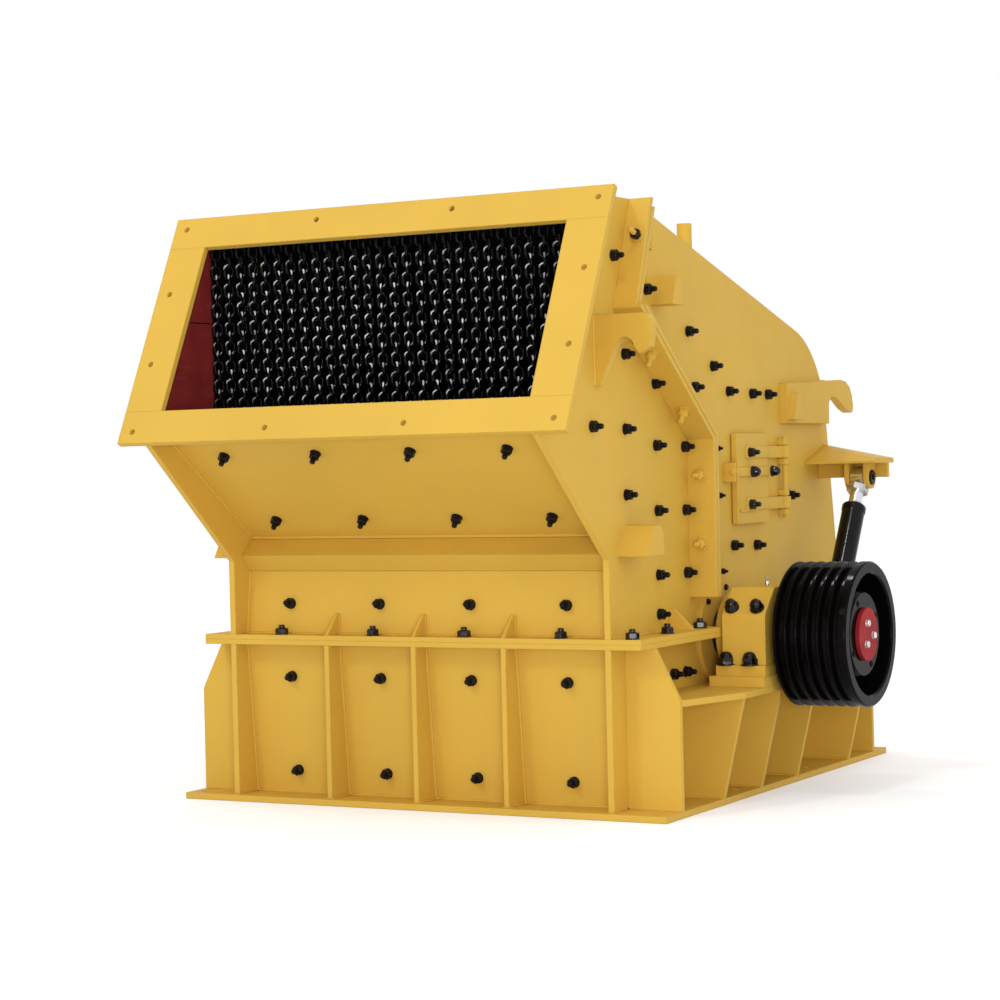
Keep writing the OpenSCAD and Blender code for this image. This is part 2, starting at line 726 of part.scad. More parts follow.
// Shaft through both bearings, with the sleeve that carries the discs
module rotor_shaft() {
    color([0.35, 0.35, 0.37]) {
        bar_x(-block_x - block_w - 40, pulley_end - hub_in - 6, axis_y, axis_z, shaft_r);
        difference() {
            bar_x(-bar_l / 2, bar_l / 2, axis_y, axis_z, shaft_r + sleeve_t);
            bar_x(-base_w, base_w, axis_y, axis_z, shaft_r + fit_gap);
        }
    }
}

// A bar's section in the disc's own plane, seated in the disc's rim
module bar_section(g) {
    translate([disc_r - 120 - g, -bar_t / 2 - g]) square([tip_r - disc_r + 120 + 2 * g, bar_t + 2 * g]);
}

module rotor_discs() {
    step = (bar_l - 60 - disc_t) / (disc_n - 1);
    color([0.25, 0.25, 0.26]) for (k = [0 : disc_n - 1])
        translate([-bar_l / 2 + 30 + k * step, axis_y, axis_z]) rotate([90, 0, 90]) linear_extrude(disc_t)
            difference() {
                circle(r = disc_r);
                circle(r = shaft_r + sleeve_t + fit_gap);
                for (a = [0 : 90 : 270]) rotate(a + 45) bar_section(fit_gap);
            }
}

module blow_bars() {
    color([0.30, 0.29, 0.28]) translate([-bar_l / 2, axis_y, axis_z]) rotate([90, 0, 90])
        linear_extrude(bar_l) for (a = [0 : 90 : 270]) rotate(a + 45) bar_section(0);
}

// Grooved pulley: rim with rounded vee grooves, a deep ring-shaped recess and a broad hub that carries the cap
module drive_pulley() {
    pitch = (pulley_w - 46) / groove_n;
    web = 60;
    lip = 8;
    color([0.05, 0.05, 0.06]) translate([pulley_x, axis_y, axis_z]) rotate([0, 90, 0]) rotate_extrude() difference() {
        union() {
            polygon([[pulley_r - pulley_rim, 0], [pulley_r - lip, 0], [pulley_r, lip], [pulley_r, pulley_w - lip],
                [pulley_r - lip, pulley_w], [pulley_r - pulley_rim + lip, pulley_w],
                [pulley_r - pulley_rim, pulley_w - lip]]);
            translate([hub_r - 5, pulley_w / 2 - web / 2]) square([pulley_r - pulley_rim - hub_r + 10, web]);
            polygon([[shaft_r + fit_gap, lip], [hub_r, lip], [hub_r, pulley_w - hub_in - 2 * lip],
                [hub_r - 2 * lip, pulley_w - hub_in], [shaft_r + fit_gap, pulley_w - hub_in]]);
        }
        for (k = [0 : groove_n - 1]) translate([pulley_r, 10 + (k + 0.5) * pitch])
            polygon([[1, -pitch * 0.45], [-lip / 2, -pitch * 0.38], [-groove_h, -pitch * 0.18],
                [-groove_h, pitch * 0.18], [-lip / 2, pitch * 0.38], [1, pitch * 0.45]]);
    }
}

module shaft_cap() {
    color([0.70, 0.16, 0.16]) bar_x(pulley_end - hub_in, pulley_end - hub_in + cap_t, axis_y, axis_z, cap_r);
}

// Outline of the rear housing with its plates taken in by d
module rear_outline(d) {
    roof_end = dome_c + [sin(roof_fall), cos(roof_fall)] * (dome_r - d);
    wall_end = dome_c + [cos(rear_lean), sin(rear_lean)] * (dome_r - d);
    start = cross_at(inward_roof(d), roof_u, level(0, split_gap, roof_z), along(split[0], split[1]));
    polygon(concat([wall_end, roof_end, start], [shifted(1, split_gap), shifted(2, split_gap)],
        [[split_c_y + split_gap, rear_z], [axis_y + gate, rear_z], [axis_y + gate, rear_up_z],
        rear_at(rear_up_z, d)]));
    translate(dome_c) circle(r = dome_r - d);
}

module rear_side_plates() {
    paint() pair() yz(in_x, side_x) difference() {
        rear_outline(0);
        translate([axis_y, axis_z]) circle(r = seal_r - seal_lap, $fn = 8);
        translate([door_y - door_w / 2, door_z - door_h / 2]) square([door_w, door_h]);
    }
}

// The roof and its rounded shoulder, down to where the shoulder meets the rear wall
module rear_roof() {
    inner = dome_r - plate_t;
    up = [sin(roof_fall), cos(roof_fall)];
    back = [cos(rear_lean), sin(rear_lean)];
    start = level(0, split_gap, roof_z);
    paint() yz(-in_x, in_x) {
        polygon([start, cross_at(inward_roof(plate_t), roof_u, start, along(split[0], split[1])),
            dome_c + up * inner - roof_u * seat, dome_a - roof_u * seat]);
        intersection() {
            translate(dome_c) difference() {
                circle(r = dome_r);
                circle(r = inner);
            }
            polygon([dome_c, dome_c + up * 2 * dome_r, dome_c + (up + back) * 2 * dome_r, dome_c + back * 2 * dome_r]);
        }
    }
}

module rear_wall() {
    n = [-cos(rear_lean), -sin(rear_lean)] * plate_t;
    paint() yz(-in_x, in_x) polygon([dome_b + wall_u * seat, dome_b + n + wall_u * seat,
        rear_at(rear_up_z, plate_t), rear_at(rear_up_z, 0)]);
}

// Flange under the rear housing with the hinge knuckles at its rear edge
module rear_joint_flange() {
    paint() {
        translate([0, 0, rear_z]) linear_extrude(flange_t) difference() {
            translate([-flange_x, axis_y + gate]) square([2 * flange_x, back_y - axis_y - gate]);
            translate([-in_x, -base_d]) square([2 * in_x, base_d + rear_at(rear_up_z, plate_t)[0]]);
        }
        for (x = [-hinge_x, hinge_x]) yz(x - hinge_w / 2, x + hinge_w / 2) difference() {
            union() {
                translate([hinge_y, hinge_z]) circle(r = hinge_knuckle_r);
                polygon([[back_y - 1, rear_z], [hinge_y, hinge_z], [hinge_y - 5, hinge_z + hinge_knuckle_r],
                    [back_y - 1, rear_up_z]]);
            }
            translate([hinge_y, hinge_z]) circle(r = hinge_pin_r + fit_gap);
        }
    }
}

module rear_split_flanges() {
    paint() pair() difference() {
        yz(side_x, side_x + split_out)
            polygon(concat(split_line(split_gap, roof_z - 40, split_end),
                back_line(split_gap + rib_t, roof_z - 40, split_end)));
        split_step();
    }
}

// Hook plates flat on the side plates, reaching past the rear wall, and the box lugs near the roof
module rear_lifting_lugs() {
    r = 1.1 * notch_r;
    foot = 1.6 * r;
    paint() pair() {
        yz(side_x, side_x + hook_t) translate([rear_hook_y, rear_hook_z]) difference() {
            polygon([[-rear_hook_l, rear_hook_h - foot], [2.36 * r, 2.73 * r], [3.64 * r, 2.58 * r],
                [4.76 * r, 2.04 * r], [5.3 * r, 1.24 * r], [5.62 * r, 0.18 * r], [5.5 * r, -0.22 * r],
                [5.27 * r, -0.44 * r], [4.9 * r, -0.49 * r], [4.5 * r, -0.4 * r], [3.35 * r, -0.07 * r],
                [1.8 * r, 0.67 * r], [0.9 * r, r], [0, r], [0, 0], [-r, 0], [-r, -foot], [-rear_hook_l, -foot]]);
            circle(r = r);
        }
        yz(side_x, side_x + hook_t + lug_out / 4)
            box_lug(rear_hook_y - rear_hook_l, rear_hook_z - 0.8 * foot, 0.66 * lug_l);
        yz(side_x, side_x + 0.75 * lug_out) box_lug(split_a_y + upper_lug_in, split_b_z + rib_t, 0.66 * lug_l);
    }
}

// Upright pipe stub on the sloping roof
module vent_stub() {
    foot = roof_p + roof_u * (vent_y - roof_p[0]) / roof_u[0];
    paint() difference() {
        translate([vent_x, vent_y, foot[1] - 30]) cylinder(h = vent_h + 30, r = vent_r);
        translate([vent_x, vent_y, foot[1] - 31]) cylinder(h = vent_h + 32, r = vent_r - 8);
        yz(vent_x - 2 * vent_r, vent_x + 2 * vent_r)
            polygon([roof_p, roof_p + roof_u * base_d / 2, [0, joint_z], [roof_p[0], joint_z]]);
    }
}

// Arm with a sloping top out from the side plate, a web under it, two cheeks and a pin for the cylinder's eye
module cylinder_brackets() {
    gap = eye_t / 2 + split_gap;
    paint() pair() {
        intersection() {
            translate([0, eye_y + arm_back, 0]) rotate([90, 0, 0]) linear_extrude(arm_back + arm_ahead)
                polygon([[side_x, eye_z + arm_z], [side_x, eye_z + arm_z + arm_h],
                    [arm_x, eye_z + arm_z + rib_t], [arm_x, eye_z + arm_z]]);
            yz(side_x, arm_x) translate([eye_y, eye_z + arm_z]) polygon([[-arm_ahead, 0], [arm_back, 0],
                [arm_back, arm_h], [-arm_ahead, rib_t / 2]]);
        }
        box(side_x, arm_x, web_y, web_y + rib_t, eye_z, eye_z + arm_z + 1);
        for (x = [cyl_x - gap - lug_t, cyl_x + gap]) {
            bar_x(x, x + lug_t, eye_y, eye_z, cheek_r);
            box(x, x + lug_t, eye_y - cheek_r, eye_y + cheek_r, eye_z, eye_z + arm_z + 1);
        }
        bar_x(cyl_x - gap - 1, cyl_x + gap + 1, eye_y, eye_z, pin_r);
    }
}

// Door plate with two straps that run to knuckles on an upright pin
module door() {
    color([0.85, 0.63, 0.22]) difference() {
        union() {
            box(door_x, door_x + door_t, door_y - door_w / 2 - door_lap, door_edge,
                door_z - door_h / 2 - door_lap, door_z + door_h / 2 + door_lap);
            for (z = [-strap_z, strap_z]) {
                box(door_x, door_x + door_t, door_edge - 1, door_hinge_y, door_z + z - strap_w / 2,
                    door_z + z + strap_w / 2);
                translate([door_hinge_x, door_hinge_y, door_z + z - strap_w / 2])
                    cylinder(h = strap_w, r = door_knuckle_r);
            }
        }
        translate([door_hinge_x, door_hinge_y, door_z - door_h]) cylinder(h = 2 * door_h, r = door_pin_r + fit_gap);
    }
}

// Upright hinge pins on posts that stand on the side plates
module door_hinges() {
    paint() pair() {
        translate([door_hinge_x, door_hinge_y, door_z - post_z - post_h])
            cylinder(h = 2 * (post_z + post_h), r = door_pin_r);
        for (z = [-post_z, post_z - 2 * strap_z, 2 * strap_z - post_z, post_z]) {
            box(side_x, door_hinge_x, door_hinge_y - door_pin_r - 6, door_hinge_y + door_pin_r + 6,
                door_z + z - post_h / 2, door_z + z + post_h / 2);
            translate([door_hinge_x, door_hinge_y, door_z + z - post_h / 2]) cylinder(h = post_h, r = door_pin_r + 6);
        }
    }
}

module inspection_door_right() {
    door();
}

module inspection_door_left() {
    mirror([1, 0, 0]) door();
}

// Into a cylinder's own axes: Z runs from the lower pin to the upper one
module on_cylinder(x) {
    translate([x, foot_y, foot_z]) rotate([-cyl_tilt, 0, 0]) children();
}

module rod(x) {
    color([0.75, 0.76, 0.78]) on_cylinder(x) difference() {
        union() {
            translate([0, 0, barrel_top - rod_in]) cylinder(h = cyl_l - barrel_top + rod_in - pin_r - 8, r = rod_r);
            translate([-eye_t / 2, 0, cyl_l]) rotate([0, 90, 0]) cylinder(h = eye_t, r = eye_r - 14);
        }
        translate([-eye_t, 0, cyl_l]) rotate([0, 90, 0]) cylinder(h = 2 * eye_t, r = pin_r + fit_gap);
    }
}

module barrel(x) {
    color([0.06, 0.06, 0.07]) on_cylinder(x) difference() {
        union() {
            translate([0, 0, neck_l]) cylinder(h = barrel_top - neck_l, r = barrel_r);
            translate([-eye_t / 2, -neck_w / 2, 0]) cube([eye_t, neck_w, neck_l + 1]);
            translate([-eye_t / 2, 0, 0]) rotate([0, 90, 0]) cylinder(h = eye_t, r = foot_eye_r);
        }
        translate([-eye_t, 0, 0]) rotate([0, 90, 0]) cylinder(h = 2 * eye_t, r = pin_r + foot_play);
        translate([0, 0, barrel_top - rod_in - 40]) cylinder(h = rod_in + 60, r = rod_r + fit_gap);
    }
}

module cylinder_rod_right() {
    rod(cyl_x);
}

module cylinder_rod_left() {
    rod(-cyl_x);
}

module cylinder_barrel_right() {
    barrel(cyl_x);
}

module cylinder_barrel_left() {
    barrel(-cyl_x);
}

base_flange();
lower_end_walls();
lower_side_walls();
end_ribs();
side_ribs();
bearing_shelves();
lower_joint_flange();
front_joint_flange();
front_side_plates();
front_wall();
feed_floor();
feed_roof();
feed_frame_bars();
feed_frame_posts();
feed_liners();
chain_rail();
chain_curtain();
front_split_flanges();
front_lifting_lugs();
lower_seals();
bearing_pedestals();
bearing_blocks();
cylinder_feet();
hinge_lugs();
rotor_shaft();
rotor_discs();
blow_bars();
drive_pulley();
shaft_cap();
rear_side_plates();
rear_roof();
rear_wall();
rear_joint_flange();
rear_split_flanges();
rear_lifting_lugs();
vent_stub();
upper_seals();
cylinder_brackets();
door_hinges();
inspection_door_right();
inspection_door_left();
cylinder_rod_right();
cylinder_rod_left();
cylinder_barrel_right();
cylinder_barrel_left();
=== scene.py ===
"""Looks of a horizontal-shaft impact crusher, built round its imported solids.

Metres, in the frame of the solids: X along the rotor, Y to the rear, Z up. The solids keep their shape and
get finishes; bolts, chain links, weld seams, clamps and small gear are surfaces worked out with numpy.
"""
import logging
import math
from dataclasses import dataclass
from enum import Enum
from functools import lru_cache
from typing import Sequence

import bmesh
import bpy
import numpy as np
from mathutils import Matrix


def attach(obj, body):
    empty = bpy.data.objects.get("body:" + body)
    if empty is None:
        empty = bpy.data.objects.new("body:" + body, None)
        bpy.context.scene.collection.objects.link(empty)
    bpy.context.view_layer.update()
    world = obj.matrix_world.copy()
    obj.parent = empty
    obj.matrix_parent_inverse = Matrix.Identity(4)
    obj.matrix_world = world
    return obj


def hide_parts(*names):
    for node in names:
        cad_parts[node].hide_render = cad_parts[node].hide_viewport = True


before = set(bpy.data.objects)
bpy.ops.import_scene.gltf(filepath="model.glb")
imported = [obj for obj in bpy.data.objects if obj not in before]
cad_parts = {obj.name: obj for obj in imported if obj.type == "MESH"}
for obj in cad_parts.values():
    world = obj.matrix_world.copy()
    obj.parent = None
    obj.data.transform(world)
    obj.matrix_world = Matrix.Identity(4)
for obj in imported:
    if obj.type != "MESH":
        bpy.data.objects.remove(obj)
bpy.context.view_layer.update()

LOG = logging.getLogger("crusher")
Array = np.ndarray
Socket = bpy.types.NodeSocket
Colour = tuple[float, float, float]
Point = tuple[float, float, float]
Spot = tuple[float, float]
MM = 0.001
# OUT points out of the machine's right side
OUT = np.array([1.0, 0.0, 0.0])
REARWARD = np.array([0.0, 1.0, 0.0])
UP = np.array([0.0, 0.0, 1.0])
# Where the rotor's axis lies along Y and Z, in millimetres
AXIS: Spot = (-200.0, 760.0)
# Outer face of the side plates, and tops of the two joint flanges
SIDE_X = 1030.0
FLANGE_TOP = 808.0
REAR_FLANGE_TOP = 813.0
# Ways square to the sloping plates, outwards, as shares along Y and Z
FLOOR_OUT: Spot = (-0.587, -0.810)
FRONT_OUT: Spot = (-0.9933, 0.1157)
LOW_FRONT_OUT: Spot = (-0.9966, -0.0819)
LOW_REAR_OUT: Spot = (0.9966, -0.0819)
REAR_OUT: Spot = (0.9866, 0.1633)


class Body(str, Enum):
    """The moving bodies that a piece can ride on."""

    FRAME = "frame"
    ROTOR = "rotor"
    REAR = "rear_housing"
    DOOR_RIGHT = "door_right"
    DOOR_LEFT = "door_left"
    ROD_RIGHT = "rod_right"
    ROD_LEFT = "rod_left"
    BARREL_RIGHT = "barrel_right"
    BARREL_LEFT = "barrel_left"


class Slot(str, Enum):
    """Names of the record's material slots; nothing in this script uses them."""

    YELLOW = "yellow_paint"
    DARK = "dark_steel"
    CHAIN = "chain_steel"
    PULLEY = "pulley_paint"
    CHROME = "rod_chrome"
    BARREL = "barrel_paint"


class Side(Enum):
    """The pulley side of the machine and the other one."""

    RIGHT = 1
    LEFT = -1

    def body(self, stem: str) -> Body:
        """The body of a piece that there is on both sides."""
        return Body(f"{stem}_{self.word}")

    @property
    def word(self) -> str:
        """The side as it stands in the names of bodies and pieces."""
        return self.name.lower()

    def place(self, form: "Form") -> "Form":
        """A form made for the right side: itself there, and its mirror image on the left."""
        return form if self is Side.RIGHT else form.mirrored()


def mm(points: Sequence) -> Array:
    """Millimetres as an array of metres."""
    return np.asarray(points, float) * MM


def unit(vectors: Array) -> Array:
    """Vectors scaled to length one along the last axis."""
    vectors = np.asarray(vectors, float)
    return vectors / np.linalg.norm(vectors, axis=-1, keepdims=True)


# Surfaces

@dataclass(frozen=True)
class Form:
    """A closed surface: its points and arrays of faces with equally many corners."""

    points: Array
    faces: tuple[Array, ...]

    def placed(self, at: Array, axis: Array, spin: Array | float = 0.0) -> "Form":
        """Copies with the form's own Z turned along axis, spun about it, and its origin moved to at.

        Args:
            at: places of the copies, one row each.
            axis: direction of each copy, or one for all.
            spin: angle of each copy about its axis, in radians.

        Returns:
            One form with all the copies.
        """
        at = np.atleast_2d(at)
        z = np.broadcast_to(unit(np.atleast_2d(axis)), at.shape)
        spin = np.broadcast_to(np.asarray(spin, float), len(at))
        hint = np.where(np.abs(z[:, 2:]) < 0.9, [[0.0, 0.0, 1.0]], [[0.0, 1.0, 0.0]])
        x = unit(np.cross(hint, z))
        y = np.cross(z, x)
        c, s = np.cos(spin)[:, None], np.sin(spin)[:, None]
        turn = np.stack([x * c + y * s, y * c - x * s, z], axis=1)
        points = np.einsum("pk,nkj->npj", self.points, turn) + at[:, None]
        shift = (np.arange(len(at)) * len(self.points))[:, None, None]
        faces = tuple((f[None] + shift).reshape(-1, f.shape[1]) for f in self.faces)
        return Form(points.reshape(-1, 3), faces)

    def mirrored(self) -> "Form":
        """The form on the other side of the machine, with its faces turned back outwards."""
        return Form(self.points * [-1, 1, 1], tuple(f[:, ::-1] for f in self.faces))


def joined(forms: Sequence[Form]) -> Form:
    """Several forms as one, each keeping its own points.

    Args:
        forms: the forms to join.

    Returns:
        One form with the points and faces of all.
    """
    starts = np.cumsum([0] + [len(f.points) for f in forms])
    faces = [g + s for f, s in zip(forms, starts) for g in f.faces]
    return Form(np.concatenate([f.points for f in forms]), tuple(faces))


def both(forms: Sequence[Form]) -> Form:
    """The forms on the right and their mirror images on the left."""
    return joined([*forms, *[f.mirrored() for f in forms]])


def lattice(rows: int, cols: int, ring: bool = False) -> Array:
    """Quads of a grid whose columns close into a ring.

    Args:
        rows: rows of points.
        cols: points in a row.
        ring: whether the last row joins the first one too.

    Returns:
        The four corners of each quad.
    """
    r = np.arange(rows if ring else rows - 1)[:, None]
    c = np.arange(cols)[None]
    r1, c1 = (r + 1) % rows, (c + 1) % cols
    return np.stack([r * cols + c, r * cols + c1, r1 * cols + c1, r1 * cols + c], -1).reshape(-1, 4)


def capped(rings: Array) -> Form:
    """A stack of rings closed by a flat face at each end.

    Args:
        rings: points, rows by columns by three.

    Returns:
        The closed surface.
    """
    rows, cols = rings.shape[:2]
    ends = np.stack([np.arange(cols)[::-1], np.arange(cols) + (rows - 1) * cols])
    return Form(rings.reshape(-1, 3), (lattice(rows, cols), ends))


def turned(profile: Sequence, sides: int = 24) -> Form:
    """A turned piece: a profile of radius and height carried round Z.

    The point at angle a and row k is (r cos a, r sin a, h). In a row whose third number is 1 the radius
    is divided by the cosine of the angle from the nearest of six flats, which makes a hexagon of that
    inner radius.

    Args:
        profile: rows of radius, height and, for a hexagon, 1; in millimetres.
        sides: points round the axis.

    Returns:
        The closed surface in metres.
    """
    rows = np.array([[*p, 0][:3] for p in profile], float)
    a = np.arange(sides) * 2 * math.pi / sides
    flat = 1 / np.cos((a + math.pi / 6) % (math.pi / 3) - math.pi / 6)
    r = rows[:, :1] * (1 + rows[:, 2:] * (flat - 1))
    h = np.broadcast_to(rows[:, 1:2], r.shape)
    return capped(mm(np.stack([r * np.cos(a), r * np.sin(a), h], -1)))


def inset(outline: Array, d: Array) -> Array:
    """A closed outline moved inwards by several distances, mitred at its corners.

    A corner moves along the sum of its two edges' normals, divided by one plus their dot product.

    Args:
        outline: corners, anticlockwise.
        d: the distances.

    Returns:
        One outline for each distance.
    """
    ahead = unit(np.roll(outline, -1, 0) - outline)
    behind = np.roll(ahead, 1, 0)
    n0 = np.stack([-behind[:, 1], behind[:, 0]], -1)
    n1 = np.stack([-ahead[:, 1], ahead[:, 0]], -1)
    mitre = (n0 + n1) / (1 + np.sum(n0 * n1, -1, keepdims=True))
    return outline[None] + d[:, None, None] * mitre[None]


def slab(outline: Sequence, low: float, high: float, rim: float = 3.0) -> Form:
    """A plate with rounded rims: an anticlockwise outline carried through the plate's thickness.

    At angle t of the rim's quarter round the outline is moved in by rim (1 - sin t) and lies
    rim (1 - cos t) from the face.

    Args:
        outline: corners in millimetres, in the plate's own X and Y.
        low: height of the lower face.
        high: height of the upper face.
        rim: radius of the rounded rims.

    Returns:
        The closed surface in metres, upright along Z.
    """
    t = np.linspace(0, math.pi / 2, 3)
    d, z = rim * (1 - np.sin(t)), rim * (1 - np.cos(t))
    rings = inset(np.asarray(outline, float), np.concatenate([d, d[::-1]]))
    heights = np.concatenate([low + z, high - z[::-1]])[:, None, None]
    return capped(mm(np.concatenate([rings, np.broadcast_to(heights, (*rings.shape[:2], 1))], -1)))


def block(x: float, y: float, z: float, rim: float = 3.0) -> Form:
    """A box of those sizes in millimetres with rounded rims, standing on its own origin."""
    return slab([[-x / 2, -y / 2], [x / 2, -y / 2], [x / 2, y / 2], [-x / 2, y / 2]], 0, z, rim)


def oval_ring(half_length: float, radius: float, wire: float, steps: int = 12, sides: int = 6) -> Form:
    """A chain link: a round wire carried round an oval in the XZ plane.

    The oval is a half circle of that radius about (0, half_length) and another about (0, -half_length).
    The wire's point at angle b is the oval's point plus wire/2 (cos b outwards + sin b along Y).

    Args:
        half_length: distance of the half circles' middles from the link's middle, in millimetres.
        radius: radius of the half circles on the wire's own middle line.
        wire: diameter of the wire.
        steps: points round the oval, an even number.
        sides: points round the wire.

    Returns:
        The closed surface in metres.
    """
    t = np.concatenate([np.linspace(0, math.pi, steps // 2), np.linspace(math.pi, 2 * math.pi, steps // 2)])
    out = np.stack([np.cos(t), 0 * t, np.sin(t)], -1)
    middle = out * radius
    middle[:, 2] += np.where(np.arange(steps) < steps // 2, half_length, -half_length)
    b = np.arange(sides) * 2 * math.pi / sides
    wall = np.cos(b)[None, :, None] * out[:, None] + np.sin(b)[None, :, None] * np.array([0.0, 1.0, 0.0])
    points = middle[:, None] + wall * wire / 2
    return Form(mm(points.reshape(-1, 3)), (lattice(steps, sides, ring=True),))


def bead(start: Sequence, end: Sequence, one: Sequence, two: Sequence, size: float = 9.0) -> Form:
    """A weld seam in the corner of two plates, with the ripples of its passes.

    Along the corner the seam's leg is size (dip + (1 - dip) |sin|) of the distance over the ripple; across
    it the point at angle t is the corner plus the leg times (cos t along one face + sin t along the other),
    and the last point lies in the corner's root, behind both faces.

    Args:
        start: one end of the corner, in millimetres.
        end: the other end.
        one: direction in the first face, away from the corner.
        two: direction in the second face, away from the corner.
        size: the seam's leg.

    Returns:
        The closed surface in metres.
    """
    start, end = np.asarray(start, float), np.asarray(end, float)
    length = np.linalg.norm(end - start)
    ripple = 34.0
    dip = 0.86
    root = 0.25
    s = np.linspace(0, length, max(3, int(length / (ripple / 2))))
    leg = size * (dip + (1 - dip) * np.abs(np.sin(math.pi * s / ripple)))
    t = np.linspace(0, math.pi / 2, 4)
    across = np.cos(t)[:, None] * unit(one) + np.sin(t)[:, None] * unit(two)
    across = np.concatenate([across, -root * (unit(one) + unit(two))[None]])
    corner = start + (end - start) * (s / length)[:, None]
    return capped(mm(corner[:, None] + leg[:, None, None] * across[None]))


def piece(name: str, form: Form, body: Body, finish: "Finish",
          smooth: float = 35.0) -> bpy.types.Object:
    """Makes a form into a piece that rides on a body.

    Args:
        name: the piece's name.
        form: its closed surface.
        body: the body that carries it.
        finish: its material.
        smooth: edges that turn less than this many degrees are shaded smooth.

    Returns:
        The new object.
    """
    mesh = bpy.data.meshes.new(name)
    mesh.from_pydata(form.points.tolist(), [], [f for g in form.faces for f in g.tolist()])
    bm = bmesh.new()
    bm.from_mesh(mesh)
    bmesh.ops.recalc_face_normals(bm, faces=bm.faces)
    bm.to_mesh(mesh)
    bm.free()
    mesh.shade_smooth()
    mesh.set_sharp_from_angle(angle=math.radians(smooth))
    mesh.materials.append(finish.material())
    obj = bpy.data.objects.new(name, mesh)
    bpy.context.scene.collection.objects.link(obj)
    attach(obj, body.value)
    LOG.info("%s: %d faces on %s", name, len(mesh.polygons), body.value)
    return obj


# Finishes

class Graph:
    """A material's nodes, with short calls to add and join them."""

    def __init__(self, name: str) -> None:
        """Starts a material with a plain shader and object coordinates.

        Args:
            name: the material's name.
        """
        self.mat = bpy.data.materials.new(name)
        self.mat.use_nodes = True
        self.tree = self.mat.node_tree
        self.shader = self.tree.nodes["Principled BSDF"]
        texture = self.add("ShaderNodeTexCoord")
        self.coords, self.facing = texture.outputs["Object"], texture.outputs["Normal"]

    def add(self, kind: str, sockets: dict | None = None, **props: object) -> bpy.types.Node:
        """Adds a node, sets its properties and sets or links its input sockets.

        Args:
            kind: the node's type.
            sockets: constants or sockets for its inputs, by name or number.
            props: the node's own properties.

        Returns:
            The new node.
        """
        node = self.tree.nodes.new(kind)
        for key, value in props.items():
            setattr(node, key, value)
        for key, value in (sockets or {}).items():
            self.put(node.inputs[key], value)
        return node

    def put(self, socket: Socket, value: object) -> None:
        """Links a socket to another one, or sets its constant.

        Args:
            socket: the input socket.
            value: the socket to link it to, or its constant.
        """
        if isinstance(value, Socket):
            self.tree.links.new(value, socket)
        else:
            socket.default_value = value

    def noise(self, scale: float, detail: float = 3.0, stretch: Point = (1, 1, 1)) -> Socket:
        """Noise of about that many grains to the metre, stretched along the axes."""
        at = self.add("ShaderNodeMapping", {"Vector": self.coords, "Scale": stretch}).outputs[0]
        return self.add("ShaderNodeTexNoise", {"Vector": at, "Scale": scale, "Detail": detail}).outputs[0]

    def ramp(self, value: Socket, low: float, high: float, to_low: float = 0.0,
             to_high: float = 1.0) -> Socket:
        """A value's range carried to another range, and held at its ends."""
        return self.add("ShaderNodeMapRange", {"Value": value, "From Min": low, "From Max": high,
                                               "To Min": to_low, "To Max": to_high}).outputs[0]

    def mix(self, share: Socket, one: object, two: object) -> Socket:
        """One colour going over into another by a share.

        Args:
            share: 0 for the first colour, 1 for the second.
            one: the first colour, or a socket that gives it.
            two: the second one.

        Returns:
            The mixed colour.
        """
        node = self.add("ShaderNodeMix", data_type="RGBA")
        for socket, value in ((node.inputs[0], share), (node.inputs[6], one), (node.inputs[7], two)):
            self.put(socket, value)
        return node.outputs[2]

    def math(self, operation: str, one: Socket, two: Socket) -> Socket:
        """Two values joined by an operation."""
        return self.add("ShaderNodeMath", {0: one, 1: two}, operation=operation).outputs[0]

    def dot(self, one: Socket, two: Socket | Point) -> Socket:
        """The dot product of two vectors."""
        return self.add("ShaderNodeVectorMath", {0: one, 1: two}, operation="DOT_PRODUCT").outputs["Value"]

    def way_from(self, point: Point) -> Socket:
        """The way from a point to the place that is shaded."""
        return self.add("ShaderNodeVectorMath", {0: self.coords, 1: point}, operation="SUBTRACT").outputs[0]

    def edges(self, radius: float) -> tuple[Socket, Socket]:
        """The normal at rounded edges, and a mask of those edges.

        Args:
            radius: the radius that edges are rounded by, in metres.

        Returns:
            The rounded normal, and a mask that rises to 1 as it leaves the true one.
        """
        soft = self.add("ShaderNodeBevel", {"Radius": radius}, samples=4).outputs[0]
        true = self.add("ShaderNodeNewGeometry").outputs["Normal"]
        return soft, self.ramp(self.dot(soft, true), 0.99, 0.85)

    def beyond(self, point: Point, normal: Point) -> Socket:
        """A mask that is 1 on the side of a plane that its normal points to: (place - point) . normal > 0."""
        return self.ramp(self.dot(self.way_from(point), normal), 0.0, 0.01)

    def turned_in(self, middle: Point, low: float = -0.15, high: float = -0.25) -> Socket:
        """A mask of faces turned to a point: 1 as (place - point) . normal falls from low to high."""
        return self.ramp(self.dot(self.way_from(middle), self.facing), low, high)

    def faces(self, way: Point, low: float, high: float) -> Socket:
        """A mask of faces turned one way: 1 as the normal's share along it goes from low to high."""
        return self.ramp(self.dot(self.facing, way), low, high)

    def inside(self, half: float) -> Socket:
        """A mask that is 1 where the distance from the machine's middle plane is under a half width."""
        far = self.add("ShaderNodeMath", {0: self.dot(self.coords, (1.0, 0.0, 0.0))}, operation="ABSOLUTE")
        return self.ramp(far.outputs[0], half, half - 0.001)

    def bump(self, height: Socket, depth: float, normal: Socket | None = None) -> Socket:
        """A normal raised by a height map.

        Args:
            height: the map.
            depth: how far its range stands up, in metres.
            normal: the normal to start from, if not the surface's own.

        Returns:
            The raised normal.
        """
        node = self.add("ShaderNodeBump", {"Height": height, "Strength": 0.6, "Distance": depth})
        if normal is not None:
            self.put(node.inputs["Normal"], normal)
        return node.outputs[0]

